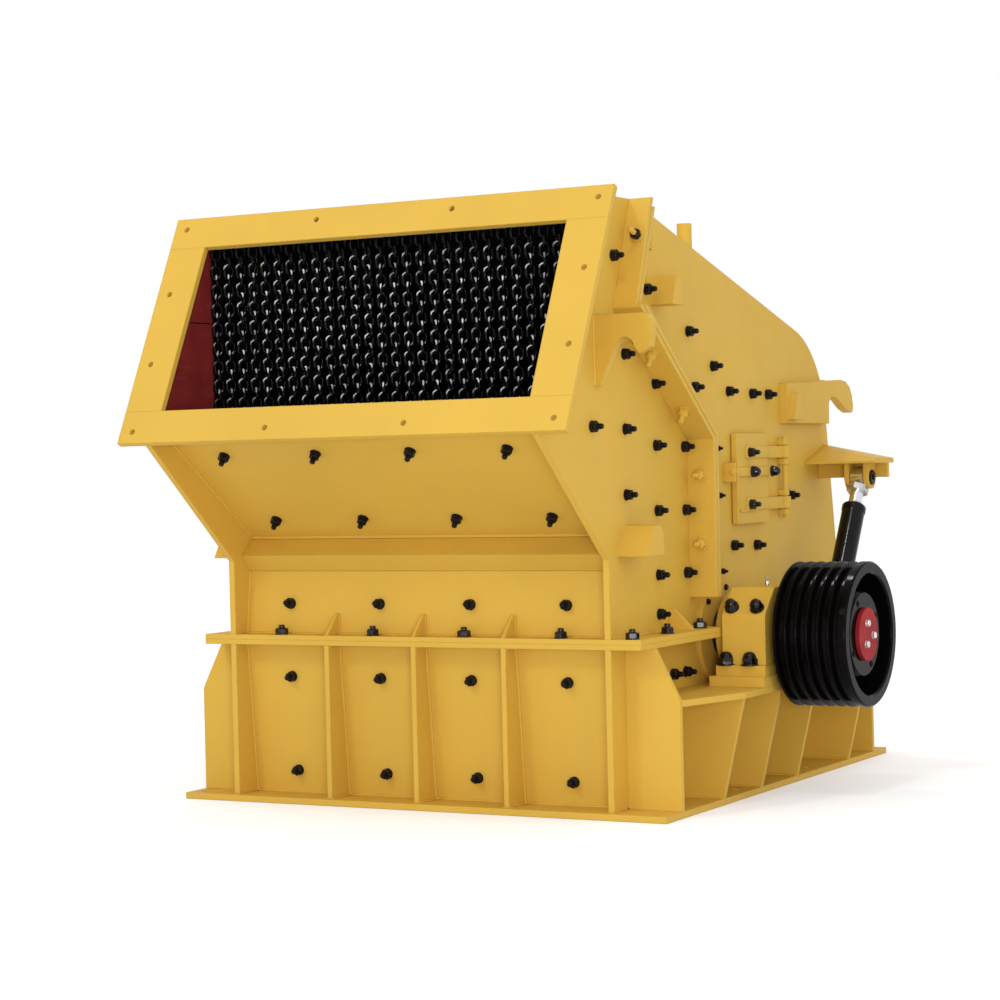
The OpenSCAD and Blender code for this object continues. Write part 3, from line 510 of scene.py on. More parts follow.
    def finish(self, sockets: dict) -> bpy.types.Material:
        """Sets the shader's sockets and gives the material.

        Args:
            sockets: constants or sockets for the shader's inputs, by name.

        Returns:
            The material.
        """
        for key, value in sockets.items():
            self.put(self.shader.inputs[key], value)
        return self.mat


def rgba(colour: Colour, share: float = 1.0) -> tuple[float, float, float, float]:
    """A colour with full cover, made lighter or darker by a share."""
    return (*[min(1.0, c * share) for c in colour], 1.0)


@dataclass(frozen=True)
class Finish:
    """A surface's finish."""

    name: str
    tint: Colour
    roughness: float

    def build(self) -> bpy.types.Material:
        """Makes the finish's material."""
        raise NotImplementedError

    def material(self) -> bpy.types.Material:
        """The finish's material, made once."""
        return made(self)


@lru_cache(maxsize=None)
def made(finish: Finish) -> bpy.types.Material:
    """Keeps one material for each finish."""
    return finish.build()


@dataclass(frozen=True)
class SprayPaint(Finish):
    """Sprayed paint on plate: cloudy tone, faint runs, orange peel, edges painted paler as highlights, and
    dust in patches.
    """

    dust: Colour = (0.54, 0.36, 0.10)
    peel: float = 0.0005
    rim: float = 0.007
    sheen: float = 0.11

    def cover(self, g: Graph, tone: Socket) -> Socket:
        """What lies over the paint: nothing on plain plate."""
        return tone

    def build(self) -> bpy.types.Material:
        """Makes the paint's material.

        Returns:
            The material, with its nodes.
        """
        g = Graph(self.name)
        cloud = g.ramp(g.noise(1.3, 4.0), 0.35, 0.65)
        tone = g.mix(cloud, rgba(self.tint, 0.965), rgba(self.tint, 1.035))
        runs = g.ramp(g.noise(1.0, 3.0, (9, 9, 0.7)), 0.55, 0.78, 0.0, 0.16)
        tone = g.mix(runs, tone, rgba(self.dust))
        speck = g.ramp(g.noise(55.0, 2.0), 0.70, 0.80, 0.0, 0.2)
        tone = g.mix(speck, tone, rgba(self.dust, 0.75))
        soft, edge = g.edges(self.rim)
        # Painted highlight: the rounded edges are made paler, as if they caught the light.
        tone = g.mix(g.ramp(edge, 0.0, 1.0, 0.0, 0.42), tone, rgba(self.tint, 1.22))
        tone = self.cover(g, tone)
        peel = g.noise(210.0, 2.0)
        gloss = g.ramp(g.noise(7.0, 4.0), 0.3, 0.7, self.roughness - 0.06, self.roughness + 0.08)
        return g.finish({"Base Color": tone, "Roughness": gloss, "Normal": g.bump(peel, self.peel, soft),
                         "Coat Weight": 0.03, "Coat Roughness": 0.3, "Specular IOR Level": self.sheen})


@dataclass(frozen=True)
class HousingPaint(SprayPaint):
    """Sprayed paint outside, and a patchy near-black painted shade on the faces that look into the housing.
    """

    # Colour of the painted shade inside the housing.
    inner_shade: Colour = (0.012, 0.010, 0.010)
    middle: Point = (0.0, 0.0, 1.4)

    def inner(self, g: Graph) -> Socket:
        """The mask of the inner faces, which take the painted shade."""
        return g.turned_in(self.middle)

    def cover(self, g: Graph, tone: Socket) -> Socket:
        """The painted shade over the inner faces, patchy in tone.

        Args:
            g: the material's nodes.
            tone: the paint's colour.

        Returns:
            The colour with the painted shade over it.
        """
        # Painted shade: the inside of the housing, which lies in shade, is coloured near black, patchy in
        # tone.
        shade_patches = g.ramp(g.noise(6.0, 5.0), 0.35, 0.75)
        primer = g.mix(shade_patches, rgba(self.inner_shade), rgba(self.inner_shade, 1.9))
        return g.mix(self.inner(g), tone, primer)


@dataclass(frozen=True)
class SidePaint(HousingPaint):
    """Housing paint on side plates, which stay yellow past the feed floor and the end walls."""

    floor_heel: Point = (0.0, -1.215, 1.28)
    floor_up: Point = (0.0, -FLOOR_OUT[0], -FLOOR_OUT[1])
    wall_head: Point = (0.0, -1.19, 1.28)
    wall_in: Point = (0.0, -FRONT_OUT[0], -FRONT_OUT[1])
    back: Point = (0.0, 9.0, 0.0)
    inner_half: float = 0.0

    def inner(self, g: Graph) -> Socket:
        """The inner faces behind floor and wall, with the inner half of the plates' edges at the split; all
        take the painted shade.

        Args:
            g: the material's nodes.

        Returns:
            The mask.
        """
        above, behind = g.beyond(self.floor_heel, self.floor_up), g.beyond(self.wall_head, self.wall_in)
        within = g.math("MAXIMUM", above, behind)
        within = g.math("MULTIPLY", within, g.beyond(self.back, (0.0, -1.0, 0.0)))
        # Painted shade also on the plates' edge faces at the split, within the inner half width.
        rim = g.math("MULTIPLY", g.inside(self.inner_half), g.turned_in(self.middle, 0.5, 0.4))
        return g.math("MULTIPLY", within, g.math("MAXIMUM", super().inner(g), rim))


@dataclass(frozen=True)
class GlossPaint(Finish):
    """Thick gloss paint on cast iron: a slow wave of the casting under a smooth skin, and edges painted paler
    as highlights.
    """

    grain: float = 34.0
    wave: float = 0.0010
    sheen: float = 0.10
    edge: float = 1.8

    def build(self) -> bpy.types.Material:
        """Makes the gloss paint's material.

        Returns:
            The material, with its nodes.
        """
        g = Graph(self.name)
        cloud = g.ramp(g.noise(6.0, 4.0), 0.4, 0.7)
        tone = g.mix(cloud, rgba(self.tint), rgba(self.tint, 1.3))
        soft, edge = g.edges(0.005)
        # Painted highlight: the rounded edges are made paler by the share edge.
        tone = g.mix(g.ramp(edge, 0.0, 1.0, 0.0, 0.5), tone, rgba(self.tint, self.edge))
        gloss = g.ramp(g.noise(22.0, 4.0), 0.35, 0.75, self.roughness, self.roughness + 0.12)
        return g.finish({"Base Color": tone, "Roughness": gloss, "Specular IOR Level": self.sheen,
                         "Normal": g.bump(g.noise(self.grain, 3.0), self.wave, soft)})


@dataclass(frozen=True)
class DarkIron(Finish):
    """Blackened or unpainted iron: mottled tone, uneven gloss, fine pits and bright rubbed edges."""

    metal: float = 0.7
    rub: Colour = (0.25, 0.24, 0.23)
    pits: float = 120.0
    sheen: float = 0.5

    def cover(self, g: Graph, tone: Socket) -> Socket:
        """What lies over the iron's tone; plain iron has nothing."""
        return tone

    def build(self) -> bpy.types.Material:
        """Makes the iron's material.

        Returns:
            The material, with its nodes.
        """
        g = Graph(self.name)
        mottle = g.ramp(g.noise(18.0, 5.0), 0.35, 0.7)
        tone = g.mix(mottle, rgba(self.tint, 0.8), rgba(self.tint, 1.5))
        soft, edge = g.edges(0.003)
        tone = self.cover(g, g.mix(g.ramp(edge, 0.0, 1.0, 0.0, 0.55), tone, rgba(self.rub)))
        gloss = g.ramp(g.noise(40.0, 4.0), 0.3, 0.7, self.roughness - 0.08, self.roughness + 0.12)
        return g.finish({"Base Color": tone, "Roughness": gloss, "Metallic": self.metal,
                         "Specular IOR Level": self.sheen,
                         "Normal": g.bump(g.noise(self.pits, 3.0), 0.0008, soft)})


@dataclass(frozen=True)
class ChainIron(DarkIron):
    """Blackened chain with painted highlights: bright spots painted on the bends turned to the front and up,
    where glints would be.
    """

    # Colour of the painted highlights, the way their faces turn, and the height below which they are painted.
    bright: Colour = (0.62, 0.61, 0.63)
    glint_way: Point = (0.0, -0.74, 0.672)
    below: float = 2.60

    def cover(self, g: Graph, tone: Socket) -> Socket:
        """Painted highlights on the faces turned front and up, uneven from link to link, and none on the
        links at the bar, which lie in its shade.

        Args:
            g: the material's nodes.
            tone: the iron's colour.

        Returns:
            The colour with the painted highlights on it.
        """
        # Painted highlight: bends turned to the front and up are coloured near white in place of the lamps'
        # glints, varied from link to link.
        uneven = g.ramp(g.noise(14.0, 2.0), 0.35, 0.6, 0.3)
        glints = g.math("MULTIPLY", g.faces(self.glint_way, 0.80, 0.92), uneven)
        # No painted highlights on the top links, which lie in the bar's shade.
        low = g.beyond((0.0, 0.0, self.below), (0.0, 0.0, -1.0))
        return g.mix(g.math("MULTIPLY", glints, low), tone, rgba(self.bright))


@dataclass(frozen=True)
class Primer(Finish):
    """Matt primer on wear plates: patchy, scuffed along the rock's fall, and painted near black behind the
    curtain as shade.
    """

    scuff: Colour = (0.16, 0.09, 0.08)
    curtain: Point = (0.0, -1.52, 0.0)
    # Colour of the painted shade behind the curtain.
    curtain_shade: Colour = (0.010, 0.006, 0.006)

    def build(self) -> bpy.types.Material:
        """Makes the primer's material.

        Returns:
            The material, with its nodes.
        """
        g = Graph(self.name)
        patch = g.ramp(g.noise(5.0, 4.0), 0.35, 0.7)
        tone = g.mix(patch, rgba(self.tint, 0.8), rgba(self.tint, 1.2))
        tone = g.mix(g.ramp(g.noise(3.0, 5.0, (3, 1, 9)), 0.58, 0.72, 0.0, 0.5), tone, rgba(self.scuff))
        soft, edge = g.edges(0.004)
        tone = g.mix(g.ramp(edge, 0.0, 1.0, 0.0, 0.4), tone, rgba(self.scuff, 1.6))
        # Painted shade: the liner behind the chain curtain, which lies in shade, is coloured near black.
        tone = g.mix(g.beyond(self.curtain, (0.0, 1.0, 0.0)), tone, rgba(self.curtain_shade))
        gloss = g.ramp(g.noise(14.0, 3.0), 0.3, 0.7, self.roughness - 0.1, self.roughness + 0.1)
        return g.finish({"Base Color": tone, "Roughness": gloss, "Specular IOR Level": 0.12,
                         "Normal": g.bump(g.noise(90.0, 4.0), 0.001, soft)})


@dataclass(frozen=True)
class Chrome(Finish):
    """Ground hard chrome: fine rings round the bar and a faint film of oil."""

    def build(self) -> bpy.types.Material:
        """Makes the chrome's material.

        Returns:
            The material, with its nodes.
        """
        g = Graph(self.name)
        film = g.ramp(g.noise(9.0, 4.0), 0.4, 0.7)
        tone = g.mix(film, rgba(self.tint), rgba(self.tint, 0.85))
        gloss = g.ramp(g.noise(60.0, 2.0, (0.2, 1, 1)), 0.3, 0.7, self.roughness, self.roughness + 0.1)
        return g.finish({"Base Color": tone, "Roughness": gloss, "Metallic": 1.0,
                         "Normal": g.bump(g.noise(300.0, 1.0, (0.1, 1, 1)), 0.0002)})


PAINT_TINT: Colour = (0.66, 0.412, 0.062)
YELLOW = SprayPaint("machine_yellow", PAINT_TINT, 0.5)
HOUSING = HousingPaint("housing_yellow", PAINT_TINT, 0.5)
LOWER_SIDES = SidePaint("lower_side_yellow", PAINT_TINT, 0.5, wall_in=(0.0, 1.0, 0.0), back=(0.0, 1.26, 0.0))
SIDES = SidePaint("side_yellow", PAINT_TINT, 0.5, inner_half=1.015)
BLACK_GLOSS = GlossPaint("pulley_black", (0.0025, 0.0018, 0.002), 0.11, sheen=0.05)
BARREL_GLOSS = GlossPaint("barrel_black", (0.0035, 0.0028, 0.003), 0.10, wave=0.0002, sheen=0.18)
CAP_RED = GlossPaint("cap_red", (0.31, 0.020, 0.022), 0.42, wave=0.0003, sheen=0.05, edge=1.15)
BOLT_BLACK = DarkIron("bolt_black", (0.005, 0.004, 0.0045), 0.26, metal=0.0, rub=(0.02, 0.02, 0.02),
                      sheen=0.14)
BOLT_GLOSS = GlossPaint("bolt_gloss", (0.003, 0.0025, 0.003), 0.12, wave=0.0003, sheen=0.36)
CHAIN_BLACK = ChainIron("chain_black", (0.002, 0.0016, 0.0018), 0.22, metal=0.0,
                        rub=(0.004, 0.004, 0.004), pits=60.0, sheen=0.08)
SHAFT_STEEL = DarkIron("shaft_steel", (0.20, 0.20, 0.21), 0.36, metal=0.9)
ROTOR_IRON = DarkIron("rotor_iron", (0.09, 0.085, 0.08), 0.55, metal=0.6)
BAR_IRON = DarkIron("blow_bar_chrome_iron", (0.24, 0.22, 0.21), 0.48, metal=0.7, pits=70.0)
ZINC = DarkIron("bright_zinc", (0.55, 0.55, 0.56), 0.30, metal=0.95, rub=(0.7, 0.7, 0.7))
LINER_RED = Primer("liner_primer", (0.20, 0.019, 0.017), 0.62, scuff=(0.21, 0.04, 0.036))
ROD_CHROME = Chrome("rod_chrome", (0.82, 0.83, 0.85), 0.08)

HOUSING_PLATES = ("feed_roof", "rear_roof", "front_wall", "rear_wall", "feed_floor", "lower_end_walls")
NODE_FINISH: dict[str, Finish] = {
    **dict.fromkeys(HOUSING_PLATES, HOUSING),
    **dict.fromkeys(("front_side_plates", "rear_side_plates"), SIDES),
    **dict.fromkeys(("cylinder_rod_right", "cylinder_rod_left"), ROD_CHROME),
    **dict.fromkeys(("cylinder_barrel_right", "cylinder_barrel_left"), BARREL_GLOSS),
    "lower_side_walls": LOWER_SIDES, "feed_liners": LINER_RED, "chain_rail": BOLT_BLACK,
    "chain_curtain": CHAIN_BLACK, "rotor_shaft": SHAFT_STEEL, "rotor_discs": ROTOR_IRON,
    "blow_bars": BAR_IRON, "drive_pulley": BLACK_GLOSS, "shaft_cap": CAP_RED}


@dataclass
class Paintwork:
    """The finishes of the solids themselves."""

    default: Finish = YELLOW

    def dress(self) -> None:
        """Gives every solid its finish."""
        for name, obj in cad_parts.items():
            finish = NODE_FINISH.get(name, self.default)
            obj.data.materials.clear()
            obj.data.materials.append(finish.material())
            LOG.info("%s: solid in %s", name, finish.name)


# Fasteners

NUT_SIDES = 12


def fastener(rows: Sequence, size: float = 1.0) -> Form:
    """A turned nut or screw: its profile in millimetres, scaled by a size."""
    return turned([(r * size, h * size, *f) for r, h, *f in rows], NUT_SIDES)


def stud_nut(size: float = 1.0) -> Form:
    """A washer, a chamfered hexagon nut and the stud's end through it, standing on the plate."""
    rows = [(27, -1), (27, 4), (22.5, 4, 1), (22.5, 27, 1), (20, 31), (13, 31), (13, 53), (9, 58)]
    return fastener(rows, size)


def flange_nut() -> Form:
    """A broad washer, a hexagon nut and a short stud, as on the joint flanges."""
    return fastener([(33, -1), (33, 5), (27, 5, 1), (27, 27, 1), (23, 32), (15, 32), (15, 43), (11, 47)])


def dome_nut(size: float = 1.0) -> Form:
    """A hexagon nut closed by a round dome."""
    rows = [(31, -1), (31, 4), (25, 4, 1), (25, 22, 1), (24, 26), (22, 34), (16, 42), (7, 46)]
    return fastener(rows, size)


def cap_screw(size: float = 1.0) -> Form:
    """A hexagon screw head with its washer face and chamfer."""
    return fastener([(31, -1), (31, 4), (26, 4, 1), (26, 20, 1), (23, 26), (12, 27)], size)


def clock(count: int, start: float) -> Array:
    """Angles of that many places spread evenly round a circle."""
    return start + np.arange(count) * 2 * math.pi / count


def round_axis(x: float, radius: float, a: Array) -> Array:
    """Places round the rotor's axis at the angles a: the axis plus radius (cos a, sin a), in metres."""
    y, z = AXIS[0] + radius * np.cos(a), AXIS[1] + radius * np.sin(a)
    return mm(np.stack([np.full(len(a), x), y, z], -1))


@dataclass(frozen=True)
class BoltRow:
    """A row of liner bolts across the machine, square to its plate."""

    y: float
    z: float
    out: Spot
    xs: tuple[float, ...] = (-750.0, -245.0, 250.0, 755.0)
    turn: float = 0.4

    def form(self) -> Form:
        """The row's bolts, each turned a little from the last.

        Returns:
            The bolts as one form.
        """
        n = len(self.xs)
        at = np.stack([np.asarray(self.xs), np.full(n, self.y), np.full(n, self.z)], -1)
        return stud_nut().placed(mm(at), np.array([0.0, *self.out]), np.arange(n) * self.turn)


@dataclass
class BoltWork:
    """The liner bolts through the walls and the bolts of the joint flanges."""

    side_turn: float = 0.37
    flange_turn: float = 0.5
    small: float = 0.55
    fixed_rows: tuple[BoltRow, ...] = (
        BoltRow(-1761, 1675.5, FLOOR_OUT, (-765, -259, 246, 742)),
        BoltRow(-1333, 1365.5, FLOOR_OUT, (-769, -278, 234, 733)),
        BoltRow(-1253, 953, FRONT_OUT), BoltRow(-1257, 600, LOW_FRONT_OUT),
        BoltRow(-1219, 141, LOW_FRONT_OUT), BoltRow(1312, 600, LOW_REAR_OUT),
        BoltRow(1274, 141, LOW_REAR_OUT))
    rear_rows: tuple[BoltRow, ...] = (
        BoltRow(1436.8, 1050, REAR_OUT), BoltRow(1395.4, 1300, REAR_OUT), BoltRow(1354.0, 1550, REAR_OUT))
    front_side: tuple[Spot, ...] = (
        (-1265, 2531), (-1170, 2090), (-855, 1962), (-1510, 1761), (-1175, 1750), (-855, 1675), (-545, 1667),
        (-1178, 1452), (-855, 1372), (-545, 1367), (-855, 1073), (-545, 1069), (-855, 890))
    rear_side: tuple[Spot, ...] = (
        (-925, 2396), (-468, 2218), (-188, 2059), (-412, 1952), (-2, 1938), (290, 1931), (492, 1929),
        (772, 1408), (20, 1176), (305, 1167))
    rear_side_small: tuple[Spot, ...] = ((-690, 2079), (-150, 1657), (-130, 1426), (-120, 1054))
    low_side: tuple[Spot, ...] = ((-725, 600), (-580, 600), (330, 600), (820, 600))
    ledge_y: float = -1325.0
    ledge_xs: tuple[float, ...] = (-761.0, -245.0, 251.0, 757.0)
    flange_x: float = 1118.0
    flange_ys: tuple[float, ...] = (-1326.0, -958.0, -591.0)
    rear_flange_ys: tuple[float, ...] = (260.0, 560.0, 860.0, 1160.0)

    def on_side(self, places: Sequence[Spot], size: float = 1.0) -> Form:
        """Bolts square to the side plates, on both sides.

        Args:
            places: their places along Y and Z.
            size: their size.

        Returns:
            The bolts as one form.
        """
        yz = np.asarray(places, float)
        at = np.concatenate([np.full((len(yz), 1), SIDE_X), yz], 1)
        return both([stud_nut(size).placed(mm(at), OUT, np.arange(len(yz)) * self.side_turn)])

    def upright(self, xs: float | Sequence[float], ys: float | Sequence[float], z: float) -> Form:
        """Bolts standing upright on a flange.

        Args:
            xs: their places along X, or one for all.
            ys: their places along Y, or one for all.
            z: the flange's top.

        Returns:
            The bolts as one form.
        """
        x, y = np.broadcast_arrays(np.asarray(xs, float), np.asarray(ys, float))
        at = np.stack([x, y, np.full_like(x, z)], -1)
        return flange_nut().placed(mm(at), UP, np.arange(len(at)) * self.flange_turn)

    def build(self) -> None:
        """Makes the bolts of the fixed housing and of the rear housing."""
        fixed = joined([*[row.form() for row in self.fixed_rows], self.on_side(self.front_side),
                        self.on_side(self.low_side)])
        piece("fixed_housing_bolts", fixed, Body.FRAME, BOLT_BLACK)
        flange = joined([self.upright(self.ledge_xs, self.ledge_y, FLANGE_TOP),
                         self.upright(self.flange_x, self.flange_ys, FLANGE_TOP),
                         self.upright(-self.flange_x, self.flange_ys[1:], FLANGE_TOP)])
        piece("fixed_flange_bolts", flange, Body.FRAME, BOLT_GLOSS)
        rear_flange = both([self.upright(self.flange_x, self.rear_flange_ys, REAR_FLANGE_TOP)])
        rear = joined([*[row.form() for row in self.rear_rows], self.on_side(self.rear_side),
                       self.on_side(self.rear_side_small, self.small), rear_flange])
        piece("rear_housing_bolts", rear, Body.REAR, BOLT_BLACK)


@dataclass(frozen=True)
class ClampPlace:
    """Where a clamp sits on the split between the housings, and the way square to the split, rearwards."""

    y: float
    z: float
    back: Spot


@dataclass
class SplitClamps:
    """Bolts that draw the split flanges together: a nut in front, and an eye between lugs behind."""

    x: float = 1100.0
    places: tuple[ClampPlace, ...] = (
        ClampPlace(-1123.5, 2615, (0.938, -0.347)), ClampPlace(-1000.5, 2115, (0.6113, 0.7914)),
        ClampPlace(-666.4, 1857, (0.6113, 0.7914)), ClampPlace(-480, 1530, (1.0, 0.0)),
        ClampPlace(-480, 1203, (1.0, 0.0)))
    front_face: float = -25.0
    rear_face: float = 30.0
    nut_turn: float = 0.3
    lug: Point = (14.0, 52.0, 58.0)
    lug_x: float = 24.0
    pin_out: float = 38.0

    def seat(self, place: ClampPlace, face: float) -> tuple[Array, Array]:
        """A clamp's seat on a face of the flanges, and the way rearwards there."""
        way = np.array([0.0, *place.back])
        return np.array([self.x, place.y, place.z]) + way * face, way

    def front(self, place: ClampPlace) -> tuple[Form, Form]:
        """The fastening on the front flange.

        Args:
            place: the clamp's place.

        Returns:
            The stud with its washer, and the nut.
        """
        seat, way = self.seat(place, self.front_face)
        stud = fastener([(34, -1), (34, 6), (13, 6), (13, 72), (10, 76)])
        nut = fastener([(22, 6), (22, 7, 1), (22, 30, 1), (19, 34)])
        return stud.placed(mm([seat]), -way), nut.placed(mm([seat]), -way, self.nut_turn)

    def rear(self, place: ClampPlace) -> Form:
        """Two lugs, the pin across them and the eye on it, on the rear flange.

        Args:
            place: the clamp's place.

        Returns:
            The pieces as one form.
        """
        seat, way = self.seat(place, self.rear_face)
        lugs = [block(*self.lug).placed(mm([seat + OUT * x]), way) for x in (-self.lug_x, self.lug_x)]
        pin = fastener([(9, -38), (12, -36), (12, 36), (9, 38)]).placed(mm([seat + way * self.pin_out]), OUT)
        eye = fastener([(13, -1), (13, 22), (24, 24), (24, 50), (16, 56)]).placed(mm([seat]), way)
        return joined([*lugs, pin, eye])

    def build(self) -> None:
        """Makes the clamps on both sides; the eyes and lugs open with the rear housing."""
        studs, nuts = zip(*[self.front(p) for p in self.places])
        piece("clamp_studs", both([*studs, *nuts[1:]]), Body.FRAME, YELLOW)
        piece("clamp_top_nuts", both(nuts[:1]), Body.FRAME, BOLT_BLACK)
        piece("clamp_eyes", both([self.rear(p) for p in self.places]), Body.REAR, YELLOW)


@dataclass
class ChainCurtain:
    """Rows of chain that hang from the bar behind the feed frame."""

    rail_y: float = -1513.8
    rail_z: float = 2680.1
    pitch: float = 71.0
    strands: int = 28
    wire: float = 17.5
    link_pitch: float = 45.5
    link_radius: float = 20.0
    links: int = 24
    eye_radius: float = 24.0
    eye_twist: float = 0.05
    sway: float = 1.2
    link_twist: float = 0.10
    strand_twist: float = 0.16
    seed: int = 7

    def strand_xs(self) -> Array:
        """Where the strands hang across the machine."""
        return (np.arange(self.strands) - (self.strands - 1) / 2) * self.pitch

    def eyes(self, rng: np.random.Generator) -> Form:
        """The round eyes that run on the bar.

        Args:
            rng: gives each eye its small twist.

        Returns:
            The eyes as one form.
        """
        x = self.strand_xs()
        at = np.stack([x, np.full_like(x, self.rail_y), np.full_like(x, self.rail_z)], -1)
        turn = math.pi / 2 + rng.normal(0, self.eye_twist, len(x))
        return oval_ring(0.0, self.eye_radius, self.wire, steps=16).placed(mm(at), UP, turn)

    def chains(self, rng: np.random.Generator) -> Form:
        """Every link; each hangs a pitch below the last and is turned a quarter from it.

        Args:
            rng: gives each link its small sway and twist, and each strand its own twist.

        Returns:
            The links as one form.
        """
        k = np.arange(self.links)
        size = (self.strands, self.links)
        first = self.rail_z - self.eye_radius - self.link_pitch / 2 + self.wire / 2
        z = first - k * self.link_pitch
        sway = rng.normal(0, self.sway, (*size, 2))
        twist = math.pi / 4 + math.pi / 2 * (k % 2)[None] + rng.normal(0, self.link_twist, size)
        twist = twist + rng.normal(0, self.strand_twist, (self.strands, 1))
        x, y = self.strand_xs()[:, None] + sway[..., 0], self.rail_y + sway[..., 1]
        at = np.stack(np.broadcast_arrays(x, y, z[None]), -1)
        half = (self.link_pitch + self.wire) / 2 - self.link_radius
        link = oval_ring(half, self.link_radius, self.wire)
        return link.placed(mm(at.reshape(-1, 3)), UP, twist.ravel())

    def build(self) -> None:
        """Makes the curtain in place of the solids' plain strands."""
        rng = np.random.default_rng(self.seed)
        eyes = self.eyes(rng)
        form = joined([self.chains(rng), eyes])
        obj = piece("chain_links", form, Body.FRAME, CHAIN_BLACK, smooth=80)
        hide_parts("chain_curtain")


@dataclass(frozen=True)
class Seam:
    """A weld seam on the right side plate: its ends, the way of its other leg, and its size."""

    start: Spot
    end: Spot
    way: Spot = (0.0, 1.0)
    size: float = 9.0

    def form(self) -> Form:
        """The seam on the plate's outer face."""
        return bead([SIDE_X, *self.start], [SIDE_X, *self.end], OUT, [0.0, *self.way], self.size)


@dataclass
class WeldWork:
    """Weld seams where ribs, walls, lugs and gussets meet the plates that carry them."""

    front_y: float = -1370.0
    foot_y: float = -1270.0
    lean: float = 60.0
    rise: float = 55 / 472
    base: float = 30.0
    low_z: float = 760.0
    up_z: float = FLANGE_TOP
    wall_top: float = 1109.0
    in_x: float = 1000.0
    rib_x: float = 480.0
    rib_t: float = 25.0
    gusset_t: float = 16.0
    gusset_h: float = 100.0
    gusset_back: float = 8.0
    thin: float = 7.0
    floor_heel: Spot = (-1215.0, 1280.0)
    floor_lip: Spot = (-1967.0, 1825.0)
    rib_ys: tuple[float, ...] = (-771.0, -327.0, 124.0, 828.0)
    rib_foot_x: float = 1295.0
    rib_head_x: float = 1405.0
    shelf_low: float = 498.0
    shelf_top: float = 528.0
    end_gusset: Spot = (1155.0, -748.0)
    # Base, joint flange, the two bearing shelves, the low lug's two edges and the hook
    fixed_seams: tuple[Seam, ...] = (
        Seam((-1230, base), (1320, base)), Seam((-1345, up_z), (-510, up_z)),
        Seam((-1170, shelf_top), (-560, shelf_top)), Seam((160, shelf_top), (1190, shelf_top)),
        Seam((-1280, 1175), (-1194, 1312), (-0.847, 0.531), thin),
        Seam((-1194, 1312), (-1131, 1312), size=thin),
        Seam((-1470, 1940), (-1470, 2255), (-1.0, 0.0)))
    # Joint flange, the hook's upper and lower edge, the upper lug and the cylinder's bracket
    rear_seams: tuple[Seam, ...] = (
        Seam((60, REAR_FLANGE_TOP), (1470, REAR_FLANGE_TOP)), Seam((660, 1987), (1300, 2013), size=thin),
        Seam((660, 1782), (1245, 1782), (0.0, -1.0), thin),
        Seam((-875, 2325), (-818, 2462), (-0.924, 0.384), thin),
        Seam((985, 1565), (1170, 1565), (0.0, -1.0), 8))

    def wall(self, x: float, z: float) -> list[float]:
        """A place on the front wall's outer face above the ledge."""
        return [x, self.foot_y + (z - self.up_z) * self.rise, z]

    def front_ribs(self) -> list[Form]:
        """Seams of the upright ribs on the leaning wall, the base and the flange, and of the ledge gussets.

        Returns:
            The seams.
        """
        forms = []
        ahead = [0, -1, 0]
        for x in (-self.rib_x, 0.0, self.rib_x):
            for s in (-1, 1):
                away = [s, 0, 0]
                face = x + s * self.rib_t / 2
                foot, head = [face, self.foot_y + self.lean, self.base], [face, self.foot_y, self.low_z]
                forms.append(bead(foot, head, away, ahead))
                forms.append(bead([face, self.front_y, self.base], foot, away, UP))
                forms.append(bead([face, self.front_y, self.low_z], head, away, -UP))
                thin = x + s * self.gusset_t / 2
                heel, top = self.wall(thin, self.up_z), self.wall(thin, self.up_z + self.gusset_h)
                forms.append(bead(heel, top, away, ahead, self.thin))
                tip = [thin, self.front_y + self.gusset_back, self.up_z]
                forms.append(bead(tip, heel, away, UP, self.thin))
        return forms

    def front_walls(self) -> list[Form]:
        """Seams along the front wall, the side plates and the feed floor.

        Returns:
            The seams.
        """
        x, y, foot = self.in_x, self.foot_y, self.foot_y + self.lean
        ahead = [0, -1, 0]
        across = [bead([-x, y, self.up_z], [x, y, self.up_z], ahead, UP),
                  bead([-x, y, self.low_z], [x, y, self.low_z], ahead, -UP),
                  bead([-x, foot, self.base], [x, foot, self.base], ahead, UP)]
        corners = [bead(self.wall(x, self.up_z), self.wall(x, self.wall_top), -OUT, ahead),
                   bead([x, foot, self.base], [x, y, self.low_z], -OUT, ahead),
                   bead([x, *self.floor_heel], [x, *self.floor_lip], -OUT, [0.0, *FLOOR_OUT])]
        return [*across, both(corners)]

    def side(self) -> list[Form]:
        """Seams of the shelf ribs, flanges, lug, hook and end gusset on the right side.

        Returns:
            The seams.
        """
        x = SIDE_X
        forms = [seam.form() for seam in self.fixed_seams]
        for y in self.rib_ys:
            for s, face in ((-1, y), (1, y + self.rib_t)):
                away = [0, s, 0]
                foot, head = [x, face, self.base], [x, face, self.shelf_low]
                forms.append(bead(foot, head, OUT, away))
                forms.append(bead(foot, [self.rib_foot_x, face, self.base], away, UP))
                forms.append(bead(head, [self.rib_head_x, face, self.shelf_low], away, -UP))
        edge, y = self.end_gusset
        forms.append(bead([x, y, self.up_z], [edge, y, self.up_z], [0, -1, 0], UP, self.thin))
        return forms

    def build(self) -> None:
        """Makes the seams of the fixed and of the rear housing."""
        fixed = joined([*self.front_ribs(), *self.front_walls(), both(self.side())])
        piece("fixed_housing_welds", fixed, Body.FRAME, YELLOW, smooth=60)
        rear = both([seam.form() for seam in self.rear_seams])
        piece("rear_housing_welds", rear, Body.REAR, YELLOW, smooth=60)


